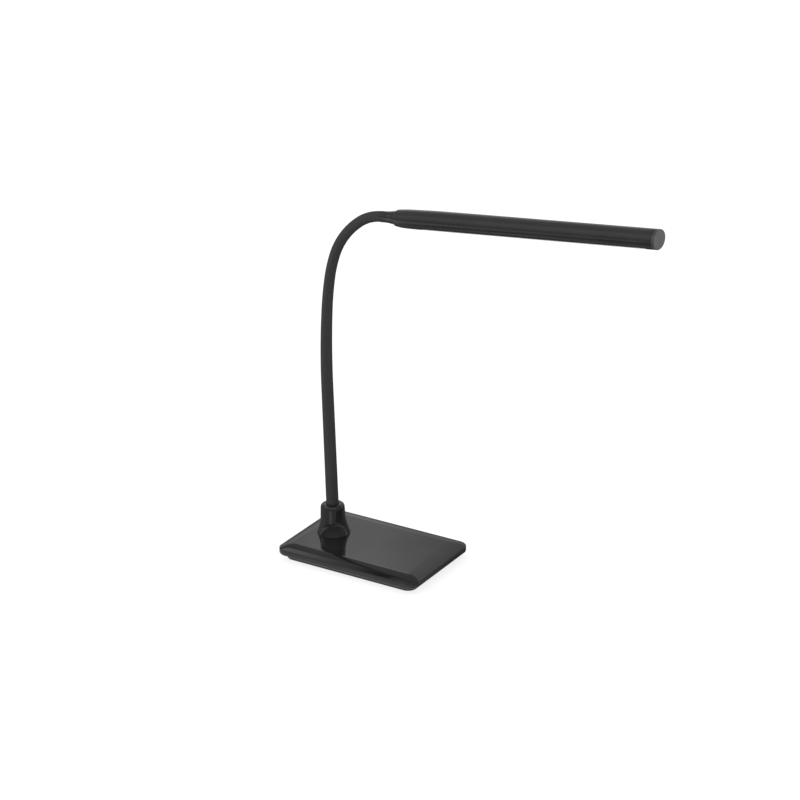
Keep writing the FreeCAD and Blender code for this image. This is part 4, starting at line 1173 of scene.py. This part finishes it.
def studio_world(scene):
    """Soft even light, white to the camera, with a dim ceiling and a brighter front in reflections."""
    world = bpy.data.worlds.new("Studio")
    scene.world = world
    world.use_nodes = True
    tree = world.node_tree
    path = add(tree, "ShaderNodeLightPath").outputs
    way = parts_of(tree, "Generated")
    high = remap(tree, way["Z"], 0.1, 0.8, 0.2, 0.85)
    front = lerp(tree, 0.36, high, remap(tree, way["Y"], 0.1, -0.3, 0.0, 1.0))
    seen = blend_colours(tree, path["Is Glossy Ray"], (0.85, 0.85, 0.85, 1.0), front)
    shown = blend_colours(tree, path["Is Camera Ray"], seen, (1.0, 1.0, 1.0, 1.0))
    fill(tree, tree.nodes["Background"].inputs, {"Color": shown, "Strength": 1.0})


def glossy_card(name, corners, shade):
    """A pale card that only reflections show, with a strength from the given function of its place."""
    material, tree, path = stage_material(name)
    glow = add(tree, "ShaderNodeEmission", {"Strength": shade(tree, parts_of(tree, "Object"))}).outputs[0]
    clear = add(tree, "ShaderNodeBsdfTransparent").outputs[0]
    choice = choose(tree, path["Is Glossy Ray"], clear, glow)
    tree.links.new(choice, tree.nodes["Material Output"].inputs["Surface"])
    stage_sheet(name, corners, material)


def back_card_shade(tree, place):
    """Brighter to the left and upwards."""
    left = maths(tree, "MULTIPLY", remap(tree, place["X"], -0.37, -0.27, 0.86, 0.56),
                 remap(tree, place["X"], -0.55, -0.44, 0.7, 1.0))
    ramp = add(tree, "ShaderNodeValToRGB", {"Fac": place["Z"]})
    marks = ramp.color_ramp.elements
    while len(marks) < len(BACK_CARD_STEPS):
        marks.new(0.5)
    for mark, (height, value) in zip(marks, BACK_CARD_STEPS):
        mark.position = height
        mark.color = (value / 2, value / 2, value / 2, 1.0)
    rise = maths(tree, "MULTIPLY", left, maths(tree, "MULTIPLY", ramp.outputs["Color"], 2.0))
    return maths(tree, "ADD", rise, remap(tree, place["X"], 0.40, 0.55, 0.0, 0.30))


def top_card_shade(tree, place):
    """Bright to the left only."""
    return remap(tree, place["X"], -0.37, -0.22, 1.5, 0.0)


def floor_shade(tree, place):
    """The floor in reflections: dim behind, a pale patch close in front, pale far off to the right."""
    left = remap(tree, place["X"], -0.37, -0.20, 0.95, 0.12)
    nearby = lerp(tree, 0.42, left, remap(tree, place["Y"], -0.13, -0.20, 0.0, 1.0))
    front = lerp(tree, 0.16, nearby, remap(tree, place["Y"], 0.02, -0.06, 0.0, 1.0))
    right = maths(tree, "MAXIMUM", front, remap(tree, place["X"], 0.3, 0.6, 0.0, 0.85))
    near = maths(tree, "MULTIPLY", within(tree, place["X"], 0.095, 0.075),
                 within(tree, maths(tree, "ADD", place["Y"], 0.056), 0.020, 0.013))
    ahead_x, ahead_y = WEDGE_WAY
    from_neck = maths(tree, "SUBTRACT", place["X"], STUD_X)
    ahead = maths(tree, "MULTIPLY_ADD", from_neck, ahead_x, maths(tree, "MULTIPLY", place["Y"], ahead_y))
    aside = maths(tree, "MULTIPLY_ADD", from_neck, -ahead_y, maths(tree, "MULTIPLY", place["Y"], ahead_x))
    wedge = within(tree, maths(tree, "DIVIDE", aside, ahead), 0.30, 0.16)
    for none_at, full_at in ((-0.06, -0.08), (-0.30, -0.14)):
        wedge = maths(tree, "MULTIPLY", wedge, remap(tree, place["Y"], none_at, full_at, 0.0, 1.0))
    return lerp(tree, right, 0.9, maths(tree, "MAXIMUM", near, wedge))


def studio_floor(s):
    """A pale floor that shows white and keeps a faint shadow."""
    half, low = s.floor_size / 2, -0.05 * MM
    material, tree, path = stage_material("studio floor")
    plain = add(tree, "ShaderNodeBsdfDiffuse", {"Color": (*s.floor, 1.0)}).outputs[0]
    soft = add(tree, "ShaderNodeBsdfDiffuse", {"Color": (0.30, 0.30, 0.30, 1.0)})
    glow = add(tree, "ShaderNodeEmission", {"Color": (0.80, 0.80, 0.80, 1.0), "Strength": 1.0})
    seen = add(tree, "ShaderNodeAddShader", {0: soft.outputs[0], 1: glow.outputs[0]}).outputs[0]
    shade = floor_shade(tree, parts_of(tree, "Object"))
    mirrored = add(tree, "ShaderNodeEmission", {"Strength": shade}).outputs[0]
    unseen = choose(tree, path["Is Glossy Ray"], plain, mirrored)
    choice = choose(tree, path["Is Camera Ray"], unseen, seen)
    tree.links.new(choice, tree.nodes["Material Output"].inputs["Surface"])
    stage_sheet("studio_floor", ((-half, -half, low), (half, -half, low), (half, half, low),
                                 (-half, half, low)), material)


def studio_lamp(name, place, size, power):
    """A soft square lamp that looks at the lamp's neck."""
    data = bpy.data.lights.new(name, "AREA")
    data.shape = "SQUARE"
    data.size = size
    data.energy = power
    lamp = bpy.data.objects.new(name, data)
    lamp.location = place
    lamp.rotation_euler = (Vector((0.05, 0, 0.2)) - Vector(place)).to_track_quat("-Z", "Y").to_euler()
    lamp.visible_glossy = False
    bpy.context.scene.collection.objects.link(lamp)


def studio_camera(scene, s):
    data = bpy.data.cameras.new("Studio camera")
    data.lens = s.lens
    data.sensor_width = 36.0
    data.clip_start, data.clip_end = 0.05, 50.0
    camera = bpy.data.objects.new("Studio camera", data)
    camera.location = s.place
    camera.rotation_euler = (math.pi / 2 - s.pitch, 0.0, s.yaw)
    scene.collection.objects.link(camera)
    scene.camera = camera


class DESKLAMP_OT_stage(bpy.types.Operator):
    """Build the pale floor, the soft studio light and the camera"""
    bl_idname = "desk_lamp.stage"
    bl_label = "Studio"

    def execute(self, context):
        scene = context.scene
        studio_world(scene)
        studio_floor(scene.lamp_stage)
        studio_lamp("Key lamp", (-0.9, -1.3, 1.3), 1.0, 9.0)
        left, right, back, height = -1.2, 0.9, 0.6, 0.58
        glossy_card("back_card", ((left, back, 0.0), (right, back, 0.0), (right, back, height),
                                  (left, back, height)), back_card_shade)
        left, right, near, far, height = -0.7, -0.2, -0.12, 0.10, 0.5
        glossy_card("top_card", ((left, near, height), (right, near, height), (right, far, height),
                                 (left, far, height)), top_card_shade)
        studio_camera(scene, scene.lamp_stage)
        scene.view_settings.view_transform = "Standard"
        return {"FINISHED"}


class DESKLAMP_PT_panel(bpy.types.Panel):
    bl_idname = "DESKLAMP_PT_panel"
    bl_label = "Desk Lamp"
    bl_space_type = "VIEW_3D"
    bl_region_type = "UI"
    bl_category = "Desk Lamp"

    def draw(self, context):
        for operator in OPERATORS:
            self.layout.operator(operator.bl_idname)
        for name, group in SETTINGS.items():
            box = self.layout.box()
            box.label(text=group.__name__.replace("Settings", ""))
            for field in group.__annotations__:
                box.prop(getattr(context.scene, name), field)


OPERATORS = (DESKLAMP_OT_finishes, DESKLAMP_OT_base_shell, DESKLAMP_OT_tray_screws, DESKLAMP_OT_cord_gland,
             DESKLAMP_OT_collar, DESKLAMP_OT_neck_sleeve, DESKLAMP_OT_head, DESKLAMP_OT_diodes,
             DESKLAMP_OT_stage)
CLASSES = tuple(SETTINGS.values()) + OPERATORS + (DESKLAMP_PT_panel,)


def register():
    for cls in CLASSES:
        bpy.utils.register_class(cls)
    for name, group in SETTINGS.items():
        setattr(bpy.types.Scene, name, PointerProperty(type=group))


def unregister():
    for name in SETTINGS:
        delattr(bpy.types.Scene, name)
    for cls in reversed(CLASSES):
        bpy.utils.unregister_class(cls)


def main():
    register()
    for operator in OPERATORS:
        group, name = operator.bl_idname.split(".")
        getattr(getattr(bpy.ops, group), name)()


if __name__ == "__main__":
    main()
